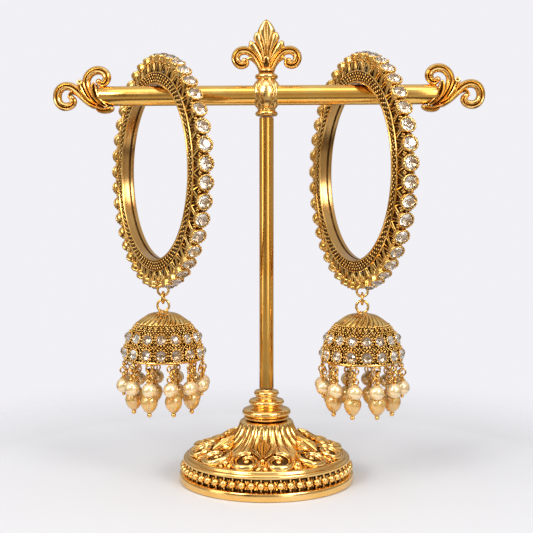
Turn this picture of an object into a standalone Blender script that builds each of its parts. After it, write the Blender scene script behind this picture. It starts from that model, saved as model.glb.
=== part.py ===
# Pair of jhumka charm bangles hanging on a T-bar jewellery stand, in metres, +Z up.
# The origin is the middle of the base's underside. The bar runs along X.
import math

import bpy
import bmesh
from mathutils import Matrix, Vector

mm = 0.001

# Fits
gap = 0.3 * mm                    # between neighbouring pieces
mergeDistance = 0.01 * mm
sinkDepth = 0.25 * mm             # how far soldered shapes run into each other

# Base of the stand
baseRadius = 30.0 * mm
baseHeight = 20.8 * mm

# Turned collar, post, knob and bar
collarRadius = 8.3 * mm
collarHeight = 10.2 * mm
postRadius = 2.43 * mm
knobRadius = 4.7 * mm
knobHeight = 14.6 * mm
barRadius = 3.25 * mm
barHalfLength = 57.0 * mm
barLevel = 131.6 * mm             # height of the bar's axis

# Scrolled ends of the bar
scrollReach = 17.0 * mm
scrollWire = 1.5 * mm
scrollCapLength = 1.6 * mm

# Leaf finial
finialHeight = 17.6 * mm
finialSpread = 11.9 * mm
finialThickness = 2.6 * mm
finialWire = 1.25 * mm
finialFootHeight = 1.6 * mm

# Bangles
bangleInnerRadius = 29.7 * mm     # a 2.6 bangle, a little under 60 mm inside
bandThickness = 4.2 * mm
bandWidth = 4.8 * mm
hoopThickness = 0.9 * mm          # ring that carries the stone cups
hoopWidth = 3.0 * mm
placeCount = 41                   # forty stones and the place of the hanging loop
cupRise = 5.4 * mm                # from the band's outside to the stones' girdles
crownHeight = 1.1 * mm
girdleShare = 0.465               # stone's radius, as a share of the space of its place
tableShare = 0.554                # its table and its cup's foot, as shares of its radius
cupFootShare = 0.482
hangAngle = math.radians(5.0)     # the loop's place, towards the viewer from the lowest point
loopInset = 0.2 * mm              # the loop's middle, inside the stones' tables

# Where each bangle hangs, as a share of half the bar, and how far it is turned about Z
leftBangleShare = -0.6491
leftBangleTurn = math.radians(31.5)
rightBangleShare = 0.5474
rightBangleTurn = math.radians(22.5)

# Rings between bangle and jhumka
loopRadius = 1.85 * mm            # to the middle of the wire
linkRadius = 1.85 * mm
bellLoopRadius = 2.0 * mm
ringWire = 0.42 * mm
stemRadius = 0.75 * mm

# Bell of the jhumka
bellHeight = 16.3 * mm
bellRadius = 13.9 * mm
bellWall = 0.9 * mm
rimHeight = 0.8 * mm
rimInnerRadius = 10.0 * mm

# Drops under the bell
hangerRadius = 0.42 * mm
pearlCount = 12
pearlRadius = 2.5 * mm
pearlRing = 13.7 * mm
pearlDrop = 8.4 * mm              # from the rim's underside to the middle of the pearl
pearlPhase = math.radians(-11.0)
ovalCount = 8
ovalRadius = 2.85 * mm
ovalHalfHeight = 3.15 * mm
ovalRing = 10.6 * mm
ovalDrop = 13.5 * mm
ovalPhase = math.radians(-18.0)
endBallRadius = 0.8 * mm

# Fineness of the round shapes
baseSteps = 32
collarSteps = 20
postSteps = 16
knobSteps = 20
barSides = 20
bandSteps = 48
cupSides = 8
ringSteps = 12
ringSides = 6
bellSteps = 24
dropSides = 10
sweepSides = 2                    # bevel resolution, which gives eight sides
arcSteps = 9
stemSteps = 5

# Turned outlines: share of the radius, share of the height, from the top down
baseOutline = [
    (0.000, 1.000),
    (0.300, 1.000),
    (0.305, 0.935),
    (0.355, 0.830),
    (0.445, 0.715),
    (0.570, 0.625),
    (0.800, 0.515),
    (0.905, 0.440),
    (0.940, 0.405),
    (0.940, 0.337),
    (1.000, 0.135),
    (1.000, 0.030),
    (0.977, 0.000),
    (0.000, 0.000),
]
collarOutline = [
    (0.000, 1.000),
    (0.300, 1.000),
    (0.505, 0.880),
    (0.505, 0.780),
    (0.430, 0.700),
    (0.720, 0.580),
    (0.720, 0.470),
    (0.600, 0.400),
    (0.870, 0.345),
    (1.000, 0.240),
    (1.000, 0.110),
    (0.860, 0.000),
    (0.000, 0.000),
]
knobOutline = [
    (0.00, 1.00),
    (0.68, 1.00),
    (0.81, 0.95),
    (0.81, 0.90),
    (0.66, 0.85),
    (0.84, 0.76),
    (1.00, 0.58),
    (1.00, 0.46),
    (0.84, 0.26),
    (0.62, 0.16),
    (0.78, 0.11),
    (0.78, 0.05),
    (0.66, 0.00),
    (0.00, 0.00),
]
# Bell: share of the bell's radius, share of its height below the top
bellOutline = [
    (0.000, 0.000),
    (0.150, 0.005),
    (0.340, 0.040),
    (0.500, 0.125),
    (0.635, 0.220),
    (0.777, 0.385),
    (0.863, 0.555),
    (0.925, 0.735),
    (0.945, 0.865),
    (0.945, 0.950),
]
# Volute: share of the way from eye to foot, share of the wire's radius
voluteSwelling = [
    (0.00, 0.78),
    (0.12, 0.62),
    (0.40, 1.00),
    (0.75, 1.05),
    (1.00, 0.80),
]
# Volutes of the bar's ends and of the finial. Places and lengths are shares of the scroll's
# reach or the finial's spread, angles are degrees from the side that faces the stem.
outerVolute = {"middle": (0.72, 0.01), "radius": 0.19, "eye": 0.62, "start": 38, "turn": 285, "leave": 0.24}
upperVolute = {"middle": (0.05, 0.00), "radius": 0.176, "eye": 0.62, "start": 50, "turn": -250, "leave": 0.26}
finialVolute = {"middle": (0.69, 0.50), "radius": 0.225, "eye": 0.62, "start": 55, "turn": 262, "leave": 0.22}
outerArrival = (0.24, -0.16)
upperArrival = (0.16, -0.15)
scrollFoot = (0.03, -0.16)
finialArrival = (0.14, 0.46)
finialFoot = (0.10, 0.08)
# Leaf under the bar: share of the reach, share of the wire's radius
scrollLeaf = [
    (0.12, 0.70),
    (0.02, 0.65),
    (-0.10, 0.55),
    (-0.22, 0.25),
]
# Half of the finial's leaf: share of the spread, share of the height
leafOutline = [
    (0.00, 1.00),
    (0.10, 0.96),
    (0.19, 0.90),
    (0.24, 0.84),
    (0.30, 0.82),
    (0.35, 0.75),
    (0.32, 0.70),
    (0.42, 0.68),
    (0.48, 0.62),
    (0.42, 0.55),
    (0.29, 0.40),
    (0.18, 0.20),
    (0.17, 0.04),
]

# Heights and radii that follow from the sizes above
collarLevel = baseHeight + gap
postLevel = collarLevel + collarHeight + gap
knobLevel = barLevel - 0.5 * knobHeight
finialLevel = knobLevel + knobHeight + gap
barEnd = barHalfLength + gap
bandOuterRadius = bangleInnerRadius + bandThickness
hoopInnerRadius = (bandOuterRadius + gap) / math.cos(math.pi / placeCount)
hoopOuterRadius = hoopInnerRadius + hoopThickness
girdleLevel = bandOuterRadius + cupRise
girdleRadius = girdleShare * 2.0 * math.pi * girdleLevel / placeCount
tableRadius = tableShare * girdleRadius
cupFootRadius = cupFootShare * girdleRadius
tableLevel = girdleLevel + crownHeight
loopLevel = tableLevel - loopInset
cupFootLevel = 0.5 * (hoopInnerRadius + hoopOuterRadius)
bangleLevel = barLevel + barRadius + gap - bangleInnerRadius * math.cos(math.pi / bandSteps)
wireStep = 2.0 * ringWire + gap   # between the wires' middles of two linked rings
bellTop = wireStep - 2.0 * bellLoopRadius - ringWire + sinkDepth
rimLevel = bellTop - bellHeight
dropTop = rimLevel - gap


def removeObjects():
    for item in list(bpy.data.objects):
        bpy.data.objects.remove(item, do_unlink=True)


def newCollection(name):
    collection = bpy.data.collections.new(name)
    bpy.context.scene.collection.children.link(collection)
    return collection


def newFinish(name, colour, roughness, metallic):
    finish = bpy.data.materials.new(name)
    finish.use_nodes = True
    shader = finish.node_tree.nodes["Principled BSDF"]
    shader.inputs["Base Color"].default_value = (*colour, 1.0)
    shader.inputs["Roughness"].default_value = roughness
    shader.inputs["Metallic"].default_value = metallic
    finish.diffuse_color = (*colour, 1.0)
    return finish


def placeMesh(name, mesh, finish, matrix, parent=None):
    item = bpy.data.objects.new(name, mesh)
    pieces.objects.link(item)
    if not mesh.materials:
        mesh.materials.append(finish)
    item.parent = parent
    item.matrix_basis = matrix
    return item


def newEmpty(name, matrix, parent=None):
    frame = bpy.data.objects.new(name, None)
    frame.empty_display_size = 0.01
    guides.objects.link(frame)
    frame.parent = parent
    frame.matrix_basis = matrix
    return frame


def bakeObject(item):
    """Return the finished mesh of an object with its modifiers, and remove the object."""
    bpy.context.view_layer.update()
    graph = bpy.context.evaluated_depsgraph_get()
    mesh = bpy.data.meshes.new_from_object(item.evaluated_get(graph))
    mesh.transform(item.matrix_world)
    bpy.data.objects.remove(item, do_unlink=True)
    shape = bmesh.new()
    shape.from_mesh(mesh)
    bmesh.ops.remove_doubles(shape, verts=shape.verts, dist=0.1 * mergeDistance)
    shape.to_mesh(mesh)
    shape.free()
    mesh.shade_smooth()
    mesh.set_sharp_from_angle(angle=math.radians(35.0))
    return mesh


def turnedMesh(outline, steps, closed=False):
    """Turn an outline of (radius, height) points about Z."""
    mesh = bpy.data.meshes.new("outline")
    edges = [(index, index + 1) for index in range(len(outline) - 1)]
    if closed:
        edges.append((len(outline) - 1, 0))
    mesh.from_pydata([(radius, 0.0, height) for radius, height in outline], edges, [])
    item = bpy.data.objects.new("outline", mesh)
    guides.objects.link(item)
    turn = item.modifiers.new("Turn", "SCREW")
    turn.steps = steps
    turn.render_steps = steps
    turn.use_merge_vertices = True
    turn.merge_threshold = mergeDistance
    return bakeObject(item)


def scaledOutline(outline, radius, height, level):
    return [(across * radius, level + up * height) for across, up in outline]


def joinMeshes(base, others, operation="UNION"):
    """Join or cut a mesh with others, one after the other."""
    item = bpy.data.objects.new("joined", base)
    guides.objects.link(item)
    tools = []
    for other in others:
        tool = bpy.data.objects.new("tool", other)
        tool.hide_render = True
        tool.display_type = "WIRE"
        guides.objects.link(tool)
        tools.append(tool)
        join = item.modifiers.new("Join", "BOOLEAN")
        join.operation = operation
        join.solver = "EXACT"
        join.object = tool
    mesh = bakeObject(item)
    for tool in tools:
        bpy.data.objects.remove(tool, do_unlink=True)
    return mesh


def sweptMesh(points, radii):
    """Sweep a round section, its radius given at each point, along a path."""
    curve = bpy.data.curves.new("sweep", "CURVE")
    curve.dimensions = "3D"
    curve.bevel_depth = mm
    curve.bevel_resolution = sweepSides
    curve.use_fill_caps = True
    line = curve.splines.new("POLY")
    line.points.add(len(points) - 1)
    for place, point, radius in zip(line.points, points, radii):
        place.co = (*point, 1.0)
        place.radius = radius / mm
    item = bpy.data.objects.new("sweep", curve)
    guides.objects.link(item)
    return bakeObject(item)


def ringMesh(radius, axis):
    """A closed wire ring whose hole faces along the named axis."""
    turns = {"X": (0.0, math.pi / 2.0, 0.0), "Y": (math.pi / 2.0, 0.0, 0.0)}
    bpy.ops.mesh.primitive_torus_add(
        major_segments=ringSteps,
        minor_segments=ringSides,
        major_radius=radius,
        minor_radius=ringWire,
        rotation=turns[axis],
    )
    return bakeObject(bpy.context.object)


def cylinderMesh(radius, length, sides, matrix):
    shape = bmesh.new()
    bmesh.ops.create_cone(
        shape, cap_ends=True, segments=sides, radius1=radius, radius2=radius, depth=length, matrix=matrix
    )
    mesh = bpy.data.meshes.new("cylinder")
    shape.to_mesh(mesh)
    shape.free()
    return mesh


def curvePoint(start, startPull, endPull, end, share):
    """A point on the cubic curve between two ends and their two pulls."""
    left = 1.0 - share
    return (
        start * left ** 3
        + startPull * 3.0 * left ** 2 * share
        + endPull * 3.0 * left * share ** 2
        + end * share ** 3
    )


def volutePath(volute, unit, side, middle, arrival, foot):
    """Curl out from the eye of a volute, then run down a stem to its foot, in the XZ plane."""
    inward = math.pi if side > 0.0 else 0.0
    points = []
    for step in range(arcSteps + 1):
        share = step / arcSteps
        angle = inward + side * math.radians(volute["start"] + volute["turn"] * share)
        reach = unit * volute["radius"] * (1.0 - (1.0 - volute["eye"]) * (1.0 - share) ** 4)
        points.append(middle + reach * Vector((math.cos(angle), 0.0, math.sin(angle))))
    along = math.copysign(unit * volute["leave"], side * volute["turn"])
    start = points[-1]
    leave = start + along * Vector((-math.sin(angle), 0.0, math.cos(angle)))
    for step in range(1, stemSteps + 1):
        points.append(curvePoint(start, leave, arrival, foot, step / stemSteps))
    return points


def swollenRadii(count, wire):
    """Section radii along a volute, read from the table of its swelling."""
    radii = []
    for step in range(count):
        share = step / (count - 1)
        for (start, low), (end, high) in zip(voluteSwelling, voluteSwelling[1:]):
            if start <= share <= end:
                radius = wire * (low + (high - low) * (share - start) / (end - start))
        radii.append(radius)
    return radii


def baseMesh():
    return turnedMesh(scaledOutline(baseOutline, baseRadius, baseHeight, 0.0), baseSteps)


def collarMesh():
    return turnedMesh(scaledOutline(collarOutline, collarRadius, collarHeight, collarLevel), collarSteps)


def postMesh():
    length = knobLevel - gap - postLevel
    middle = Matrix.Translation((0.0, 0.0, postLevel + 0.5 * length))
    return cylinderMesh(postRadius, length, postSteps, middle)


def knobMesh():
    knob = turnedMesh(scaledOutline(knobOutline, knobRadius, knobHeight, knobLevel), knobSteps)
    bore = cylinderMesh(
        barRadius + gap,
        4.0 * knobRadius,
        barSides,
        Matrix.Translation((0.0, 0.0, barLevel)) @ Matrix.Rotation(math.pi / 2.0, 4, "Y"),
    )
    return joinMeshes(knob, [bore], "DIFFERENCE")


def barMesh():
    along = Matrix.Translation((0.0, 0.0, barLevel)) @ Matrix.Rotation(math.pi / 2.0, 4, "Y")
    return cylinderMesh(barRadius, 2.0 * barHalfLength, barSides, along)


def scrollMesh(side):
    """Two open volutes, a leaf and a foot on a round cap that closes one end of the bar."""
    def at(reach, rise=0.0):
        return Vector((side * (barEnd + reach * scrollReach), 0.0, barLevel + rise * scrollReach))

    cap = cylinderMesh(
        barRadius,
        scrollCapLength,
        barSides,
        Matrix.Translation((side * (barEnd + 0.5 * scrollCapLength), 0.0, barLevel))
        @ Matrix.Rotation(math.pi / 2.0, 4, "Y"),
    )
    rise = barRadius + gap + 0.95 * upperVolute["radius"] * scrollReach
    upperMiddle = at(*upperVolute["middle"]) + Vector((0.0, 0.0, rise))
    outer = volutePath(
        outerVolute, scrollReach, side, at(*outerVolute["middle"]), at(*outerArrival), at(*scrollFoot)
    )
    upper = volutePath(upperVolute, scrollReach, side, upperMiddle, at(*upperArrival), at(*scrollFoot))
    under = barRadius + gap + scrollWire * max(share for reach, share in scrollLeaf)
    leaf = [at(reach) - Vector((0.0, 0.0, under)) for reach, share in scrollLeaf]
    meshes = [
        sweptMesh(outer, swollenRadii(len(outer), scrollWire)),
        sweptMesh(upper, swollenRadii(len(upper), scrollWire)),
        sweptMesh(leaf, [share * scrollWire for reach, share in scrollLeaf]),
    ]
    return joinMeshes(cap, meshes)


def leafMesh():
    """The finial's lobed leaf: a flat outline with half its thickness on each side."""
    rows = [(across * finialSpread, up * finialHeight) for across, up in leafOutline]
    outline = rows + [(-across, up) for across, up in reversed(rows) if across > 0.0]
    curve = bpy.data.curves.new("leaf", "CURVE")
    curve.dimensions = "2D"
    curve.fill_mode = "BOTH"
    curve.extrude = 0.5 * finialThickness
    line = curve.splines.new("POLY")
    line.points.add(len(outline) - 1)
    for place, point in zip(line.points, outline):
        place.co = (*point, 0.0, 1.0)
    line.use_cyclic_u = True
    item = bpy.data.objects.new("leaf", curve)
    guides.objects.link(item)
    item.matrix_world = Matrix.Translation((0.0, 0.0, finialLevel)) @ Matrix.Rotation(math.pi / 2.0, 4, "X")
    return bakeObject(item)


def finialMesh():
    """A lobed leaf between two volutes on a round foot."""
    footRadius = 2.2 * finialWire
    foot = turnedMesh(
        [
            (0.0, finialLevel + finialFootHeight),
            (footRadius, finialLevel + 0.8 * finialFootHeight),
            (footRadius, finialLevel),
            (0.0, finialLevel),
        ],
        barSides,
    )
    others = [leafMesh()]
    for side in (-1.0, 1.0):
        def at(across, up):
            return Vector((side * across * finialSpread, 0.0, finialLevel + up * finialSpread))

        middle = at(*finialVolute["middle"])
        path = volutePath(finialVolute, finialSpread, side, middle, at(*finialArrival), at(*finialFoot))
        others.append(sweptMesh(path, swollenRadii(len(path), finialWire)))
    return joinMeshes(foot, others)


def bandMesh():
    """The bangle's band, turned about its own axis, a little narrower on the inside."""
    half = 0.5 * bandWidth
    innerHalf = 0.92 * half
    outline = [
        (bandOuterRadius, half),
        (bandOuterRadius, -half),
        (bangleInnerRadius, -innerHalf),
        (bangleInnerRadius, innerHalf),
    ]
    return turnedMesh(outline, bandSteps, closed=True)


def cupMesh():
    """One stone in its cup, foot at the origin and facing +Z: a cone with a cut crown on it."""
    height = girdleLevel - cupFootLevel
    shape = bmesh.new()
    bmesh.ops.create_cone(
        shape,
        cap_ends=True,
        segments=cupSides,
        radius1=cupFootRadius,
        radius2=girdleRadius,
        depth=height,
        matrix=Matrix.Translation((0.0, 0.0, 0.5 * height)),
    )
    top = max(shape.faces, key=lambda face: face.calc_center_median().z)
    crown = bmesh.ops.extrude_discrete_faces(shape, faces=[top])["faces"][0]
    for corner in crown.verts:
        corner.co.x *= tableRadius / girdleRadius
        corner.co.y *= tableRadius / girdleRadius
        corner.co.z += crownHeight
    mesh = bpy.data.meshes.new("cup")
    shape.to_mesh(mesh)
    shape.free()
    return mesh


def ringPlace(angle, radius):
    """The frame at one place of the bangle: +Z outward, the bangle's axis kept as Y."""
    outward = Vector((math.cos(angle), math.sin(angle), 0.0))
    axis = Vector((0.0, 0.0, 1.0))
    across = axis.cross(outward)
    turn = Matrix((across, axis, outward)).transposed().to_4x4()
    return Matrix.Translation(outward * radius) @ turn


def stoneRowMesh():
    """A hoop with one cup and stone at every place but the hanging loop's."""
    half = 0.5 * hoopWidth
    facet = math.pi / placeCount
    hoop = turnedMesh(
        [
            (hoopOuterRadius, half),
            (hoopOuterRadius, -half),
            (hoopInnerRadius, -half),
            (hoopInnerRadius, half),
        ],
        placeCount,
        closed=True,
    )
    hoop.transform(Matrix.Rotation(-hangAngle - facet, 4, "Z"))
    cup = cupMesh()
    shape = bmesh.new()
    for place in range(1, placeCount):
        angle = -hangAngle + 2.0 * math.pi * place / placeCount
        copied = cup.copy()
        copied.transform(ringPlace(angle, cupFootLevel))
        shape.from_mesh(copied)
        bpy.data.meshes.remove(copied)
    cups = bpy.data.meshes.new("cups")
    shape.to_mesh(cups)
    shape.free()
    return joinMeshes(hoop, [cups])


def loopMesh(turn):
    """The bangle's hanging loop in world directions, with its stem, the loop's middle at the origin."""
    up = Vector((-math.sin(hangAngle) * math.sin(turn), math.sin(hangAngle) * math.cos(turn), math.cos(hangAngle)))
    length = loopLevel - hoopOuterRadius - gap - loopRadius
    middle = up * (loopRadius + 0.5 * length)
    stem = cylinderMesh(
        stemRadius,
        length,
        ringSides,
        Matrix.Translation(middle) @ up.to_track_quat("Z", "Y").to_matrix().to_4x4(),
    )
    return joinMeshes(ringMesh(loopRadius, "Y"), [stem])


def offsetOutline(outline, distance):
    """Move an outline inward by a wall, along the normal at each point."""
    moved = []
    for index, (radius, level) in enumerate(outline):
        before = outline[max(0, index - 1)]
        after = outline[min(len(outline) - 1, index + 1)]
        run = (after[0] - before[0], after[1] - before[1])
        length = math.hypot(*run)
        moved.append((max(0.0, radius + run[1] / length * distance), level - run[0] / length * distance))
    moved[0] = (0.0, outline[0][1] - distance)
    return moved


def bellMesh():
    """The bell: a turned shell with a flat rim, and its loop soldered on top."""
    shell = [(across * bellRadius, bellTop - down * bellHeight) for across, down in bellOutline]
    inside = offsetOutline(shell, bellWall)
    outline = shell + [
        (bellRadius, rimLevel + rimHeight),
        (bellRadius, rimLevel),
        (rimInnerRadius, rimLevel),
        (rimInnerRadius, rimLevel + rimHeight),
    ] + [point for point in reversed(inside[::2]) if point[1] > rimLevel + rimHeight]
    loop = ringMesh(bellLoopRadius, "Y")
    loop.transform(Matrix.Translation((0.0, 0.0, wireStep - bellLoopRadius)))
    return joinMeshes(turnedMesh(outline, bellSteps), [loop])


def dropMesh(beadRadius, beadHalfHeight, drop):
    """A hanger, a bead and the knobbed end of its pin, hanging from the rim's underside."""
    beadMiddle = rimLevel - drop
    slope = 0.68
    shoulder = beadRadius * math.sqrt(1.0 - slope ** 2)
    outline = [
        (0.0, dropTop),
        (hangerRadius, dropTop),
        (hangerRadius, beadMiddle + 0.97 * beadHalfHeight),
        (shoulder, beadMiddle + slope * beadHalfHeight),
        (beadRadius, beadMiddle),
        (shoulder, beadMiddle - slope * beadHalfHeight),
        (endBallRadius, beadMiddle - beadHalfHeight),
        (0.0, beadMiddle - beadHalfHeight - 2.0 * endBallRadius),
    ]
    return turnedMesh(outline, dropSides)


def placeDrops(side, frame, mesh, label, count, ring, phase, finish):
    for index in range(count):
        angle = phase + 2.0 * math.pi * index / count
        spot = Matrix.Translation((ring * math.sin(angle), -ring * math.cos(angle), 0.0))
        placeMesh(f"{side}_{label}_{index + 1}", mesh, finish, spot, frame)


def placeBangle(side, place, turn):
    """One bangle on the bar with its link and jhumka, each moving piece on its own axis."""
    lie = Matrix.Rotation(turn, 4, "Z") @ Matrix.Rotation(math.pi / 2.0, 4, "Y")
    centre = Vector((place, 0.0, bangleLevel))
    bangle = newEmpty(f"{side}_bangle_frame", Matrix.Translation(centre) @ lie)
    placeMesh(f"{side}_bangle_band", bandShape, antiqueGold, Matrix(), bangle)
    placeMesh(f"{side}_bangle_stones", stoneRowShape, crystal, Matrix(), bangle)
    outward = lie @ Vector((math.cos(-hangAngle), math.sin(-hangAngle), 0.0))
    loopCentre = centre + outward * loopLevel
    placeMesh(f"{side}_bangle_loop", loopMesh(turn), antiqueGold, Matrix.Translation(loopCentre))
    linkAxis = loopCentre - Vector((0.0, 0.0, loopRadius))
    linkFrame = newEmpty(f"{side}_link_axis", Matrix.Translation(linkAxis))
    linkSpot = Matrix.Translation((0.0, 0.0, wireStep - linkRadius))
    placeMesh(f"{side}_jump_ring", linkShape, antiqueGold, linkSpot, linkFrame)
    bellAxis = Matrix.Translation((0.0, 0.0, wireStep - 2.0 * linkRadius))
    bellFrame = newEmpty(f"{side}_jhumka_axis", bellAxis, linkFrame)
    placeMesh(f"{side}_jhumka_bell", bellShape, antiqueGold, Matrix(), bellFrame)
    placeDrops(side, bellFrame, pearlShape, "pearl_drop", pearlCount, pearlRing, pearlPhase, pearl)
    placeDrops(side, bellFrame, ovalShape, "oval_drop", ovalCount, ovalRing, ovalPhase, resin)


removeObjects()
pieces = newCollection("jhumka_charm_bangles")
guides = newCollection("guides")

standGold = newFinish("stand_gold", (0.83, 0.56, 0.18), 0.22, 1.0)
antiqueGold = newFinish("antique_gold", (0.66, 0.42, 0.13), 0.38, 1.0)
crystal = newFinish("crystal", (0.88, 0.80, 0.66), 0.08, 0.0)
pearl = newFinish("pearl", (0.94, 0.86, 0.72), 0.25, 0.0)
resin = newFinish("resin", (0.90, 0.72, 0.48), 0.20, 0.0)

placeMesh("stand_base", baseMesh(), standGold, Matrix())
placeMesh("post_collar", collarMesh(), standGold, Matrix())
placeMesh("post", postMesh(), standGold, Matrix())
placeMesh("centre_knob", knobMesh(), standGold, Matrix())
placeMesh("crossbar", barMesh(), standGold, Matrix())
placeMesh("left_scroll", scrollMesh(-1.0), standGold, Matrix())
placeMesh("right_scroll", scrollMesh(1.0), standGold, Matrix())
placeMesh("leaf_finial", finialMesh(), standGold, Matrix())

bandShape = bandMesh()
stoneRowShape = stoneRowMesh()
linkShape = ringMesh(linkRadius, "X")
bellShape = bellMesh()
pearlShape = dropMesh(pearlRadius, pearlRadius, pearlDrop)
ovalShape = dropMesh(ovalRadius, ovalHalfHeight, ovalDrop)
placeBangle("left", leftBangleShare * barHalfLength, leftBangleTurn)
placeBangle("right", rightBangleShare * barHalfLength, rightBangleTurn)
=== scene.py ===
import math

import bmesh
import bpy
import numpy
from mathutils import Matrix, Vector


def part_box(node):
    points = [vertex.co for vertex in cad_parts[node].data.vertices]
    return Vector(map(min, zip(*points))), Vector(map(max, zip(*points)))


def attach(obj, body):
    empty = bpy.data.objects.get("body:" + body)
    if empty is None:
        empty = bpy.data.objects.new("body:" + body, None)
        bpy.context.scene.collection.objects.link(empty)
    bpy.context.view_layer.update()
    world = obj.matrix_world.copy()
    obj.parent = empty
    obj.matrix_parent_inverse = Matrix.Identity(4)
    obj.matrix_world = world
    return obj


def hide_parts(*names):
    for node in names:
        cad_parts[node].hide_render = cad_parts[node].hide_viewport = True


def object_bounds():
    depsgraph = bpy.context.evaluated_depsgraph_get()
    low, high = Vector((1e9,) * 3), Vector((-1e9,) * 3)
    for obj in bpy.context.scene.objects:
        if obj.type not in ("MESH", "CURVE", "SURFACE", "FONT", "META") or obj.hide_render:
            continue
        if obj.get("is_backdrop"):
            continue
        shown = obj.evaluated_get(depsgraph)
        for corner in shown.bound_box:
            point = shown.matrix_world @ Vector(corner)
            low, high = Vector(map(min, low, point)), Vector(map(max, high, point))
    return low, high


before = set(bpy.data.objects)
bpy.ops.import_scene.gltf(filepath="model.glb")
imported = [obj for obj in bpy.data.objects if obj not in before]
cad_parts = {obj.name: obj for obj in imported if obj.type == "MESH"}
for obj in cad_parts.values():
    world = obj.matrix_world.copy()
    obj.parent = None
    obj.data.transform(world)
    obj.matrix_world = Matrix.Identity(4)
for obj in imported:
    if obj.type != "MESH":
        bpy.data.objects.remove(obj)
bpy.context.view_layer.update()        # the imported model's nodes, laid out in world space
mm = 0.001               # shapes are drawn in millimetres and scaled when a piece is made
front = Vector((0.0, -1.0, 0.0))
up = Vector((0.0, 0.0, 1.0))
right = Vector((1.0, 0.0, 0.0))
here = Matrix.Identity(4)
sideways = Matrix.Rotation(math.pi / 2.0, 4, "Y")


def boxOf(node):
    low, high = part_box(node)
    return low / mm, high / mm


def centreOf(node):
    low, high = boxOf(node)
    return (low + high) / 2.0


def at(x, y, z):
    return Matrix.Translation((x, y, z))


def moved(point):
    return Matrix.Translation(point)


def laidAlong(normal):
    # a turn that lays Z along the normal
    return normal.to_track_quat("Z", "Y").to_matrix().to_4x4()


def turnOf(share, count):
    return 2.0 * math.pi * share / count


def ringPoints(radius, count, level, shift=0.0):
    turns = [turnOf(index + shift, count) for index in range(count)]
    return [(radius * math.cos(turn), radius * math.sin(turn), level) for turn in turns]


def outAt(angle):
    # level direction away from the middle; 0 is the front
    return Vector((math.sin(angle), -math.cos(angle), 0.0))


def readLine(place, places, values):
    return float(numpy.interp(place, places, values))


def written(shape, mesh):
    shape.to_mesh(mesh)
    shape.free()
    return mesh


def addObject(name, data):
    thing = bpy.data.objects.new(name, data)
    bpy.context.scene.collection.objects.link(thing)
    return thing


def plainMesh(points, faces, tints=None):
    mesh = bpy.data.meshes.new("shape")
    mesh.from_pydata([tuple(point) for point in points], [], faces)
    if tints is not None:
        mesh.polygons.foreach_set("material_index", tints)
    shape = bmesh.new()
    shape.from_mesh(mesh)
    bmesh.ops.recalc_face_normals(shape, faces=shape.faces)
    return written(shape, mesh)


def mirrored(mesh, axis):
    other = mesh.copy()
    other.transform(Matrix.Scale(-1.0, 4, axis))
    other.flip_normals()
    return other


def smoothLine(points, steps):
    points = [Vector(point) for point in points]
    last = len(points) - 1
    line = []
    for index in range(last):
        before, start = points[max(index - 1, 0)], points[index]
        end, after = points[index + 1], points[min(index + 2, last)]
        for step in range(steps):
            share = step / steps
            line.append(0.5 * (
                2.0 * start
                + (end - before) * share
                + (2.0 * before - 5.0 * start + 4.0 * end - after) * share ** 2
                + (3.0 * (start - end) + after - before) * share ** 3
            ))
    line.append(points[last])
    return line


def spreadOut(table, count, unit=1.0):
    # sizes along a path, read from (share of the way, share of the unit)
    shares, sizes = zip(*table)
    return [unit * readLine(step / (count - 1), shares, sizes) for step in range(count)]


def sweptMesh(path, section, wide, deep, fronts=front, closed=False, grooves=()):
    count, around = len(path), len(section)
    points, faces, tints = [], [], []
    for index, point in enumerate(path):
        before = path[index - 1] if closed or index else path[0]
        after = path[(index + 1) % count] if closed or index < count - 1 else path[-1]
        along = (after - before).normalized()
        across = along.cross(fronts[index] if isinstance(fronts, list) else fronts).normalized()
        outward = across.cross(along)
        for u, v in section:
            points.append(point + across * (u * wide[index]) + outward * (v * deep[index]))
    for row in range(count if closed else count - 1):
        first, second = row * around, (row + 1) % count * around
        for corner in range(around):
            beside = (corner + 1) % around
            faces.append((first + corner, first + beside, second + beside, second + corner))
            # faces in the grooves get the dark second finish: painted shade
            tints.append(1 if corner in grooves else 0)
    if not closed:
        faces.append(tuple(range(around)))
        faces.append(tuple(range((count - 1) * around, count * around)))
        tints += [0, 0]
    return plainMesh(points, faces, tints)


def roundSection(sides):
    return [(math.cos(turnOf(side, sides)), math.sin(turnOf(side, sides))) for side in range(sides)]


def wireMesh(path, radius, sides=8, fronts=front, closed=False):
    sizes = [radius] * len(path) if isinstance(radius, float) else radius
    return sweptMesh(path, roundSection(sides), sizes, sizes, fronts, closed)


def ringMesh(radius, wire, axis, steps=24, sides=10):
    # a closed wire ring round the origin, its hole facing along the axis
    side = axis.orthogonal().normalized()
    other = axis.cross(side)
    path = []
    for step in range(steps):
        angle = turnOf(step, steps)
        path.append((side * math.cos(angle) + other * math.sin(angle)) * radius)
    return wireMesh(path, wire, sides, axis, closed=True)


def ballMesh(radius, fineness=2):
    shape = bmesh.new()
    bmesh.ops.create_icosphere(shape, subdivisions=fineness, radius=radius)
    return written(shape, bpy.data.meshes.new("ball"))


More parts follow.
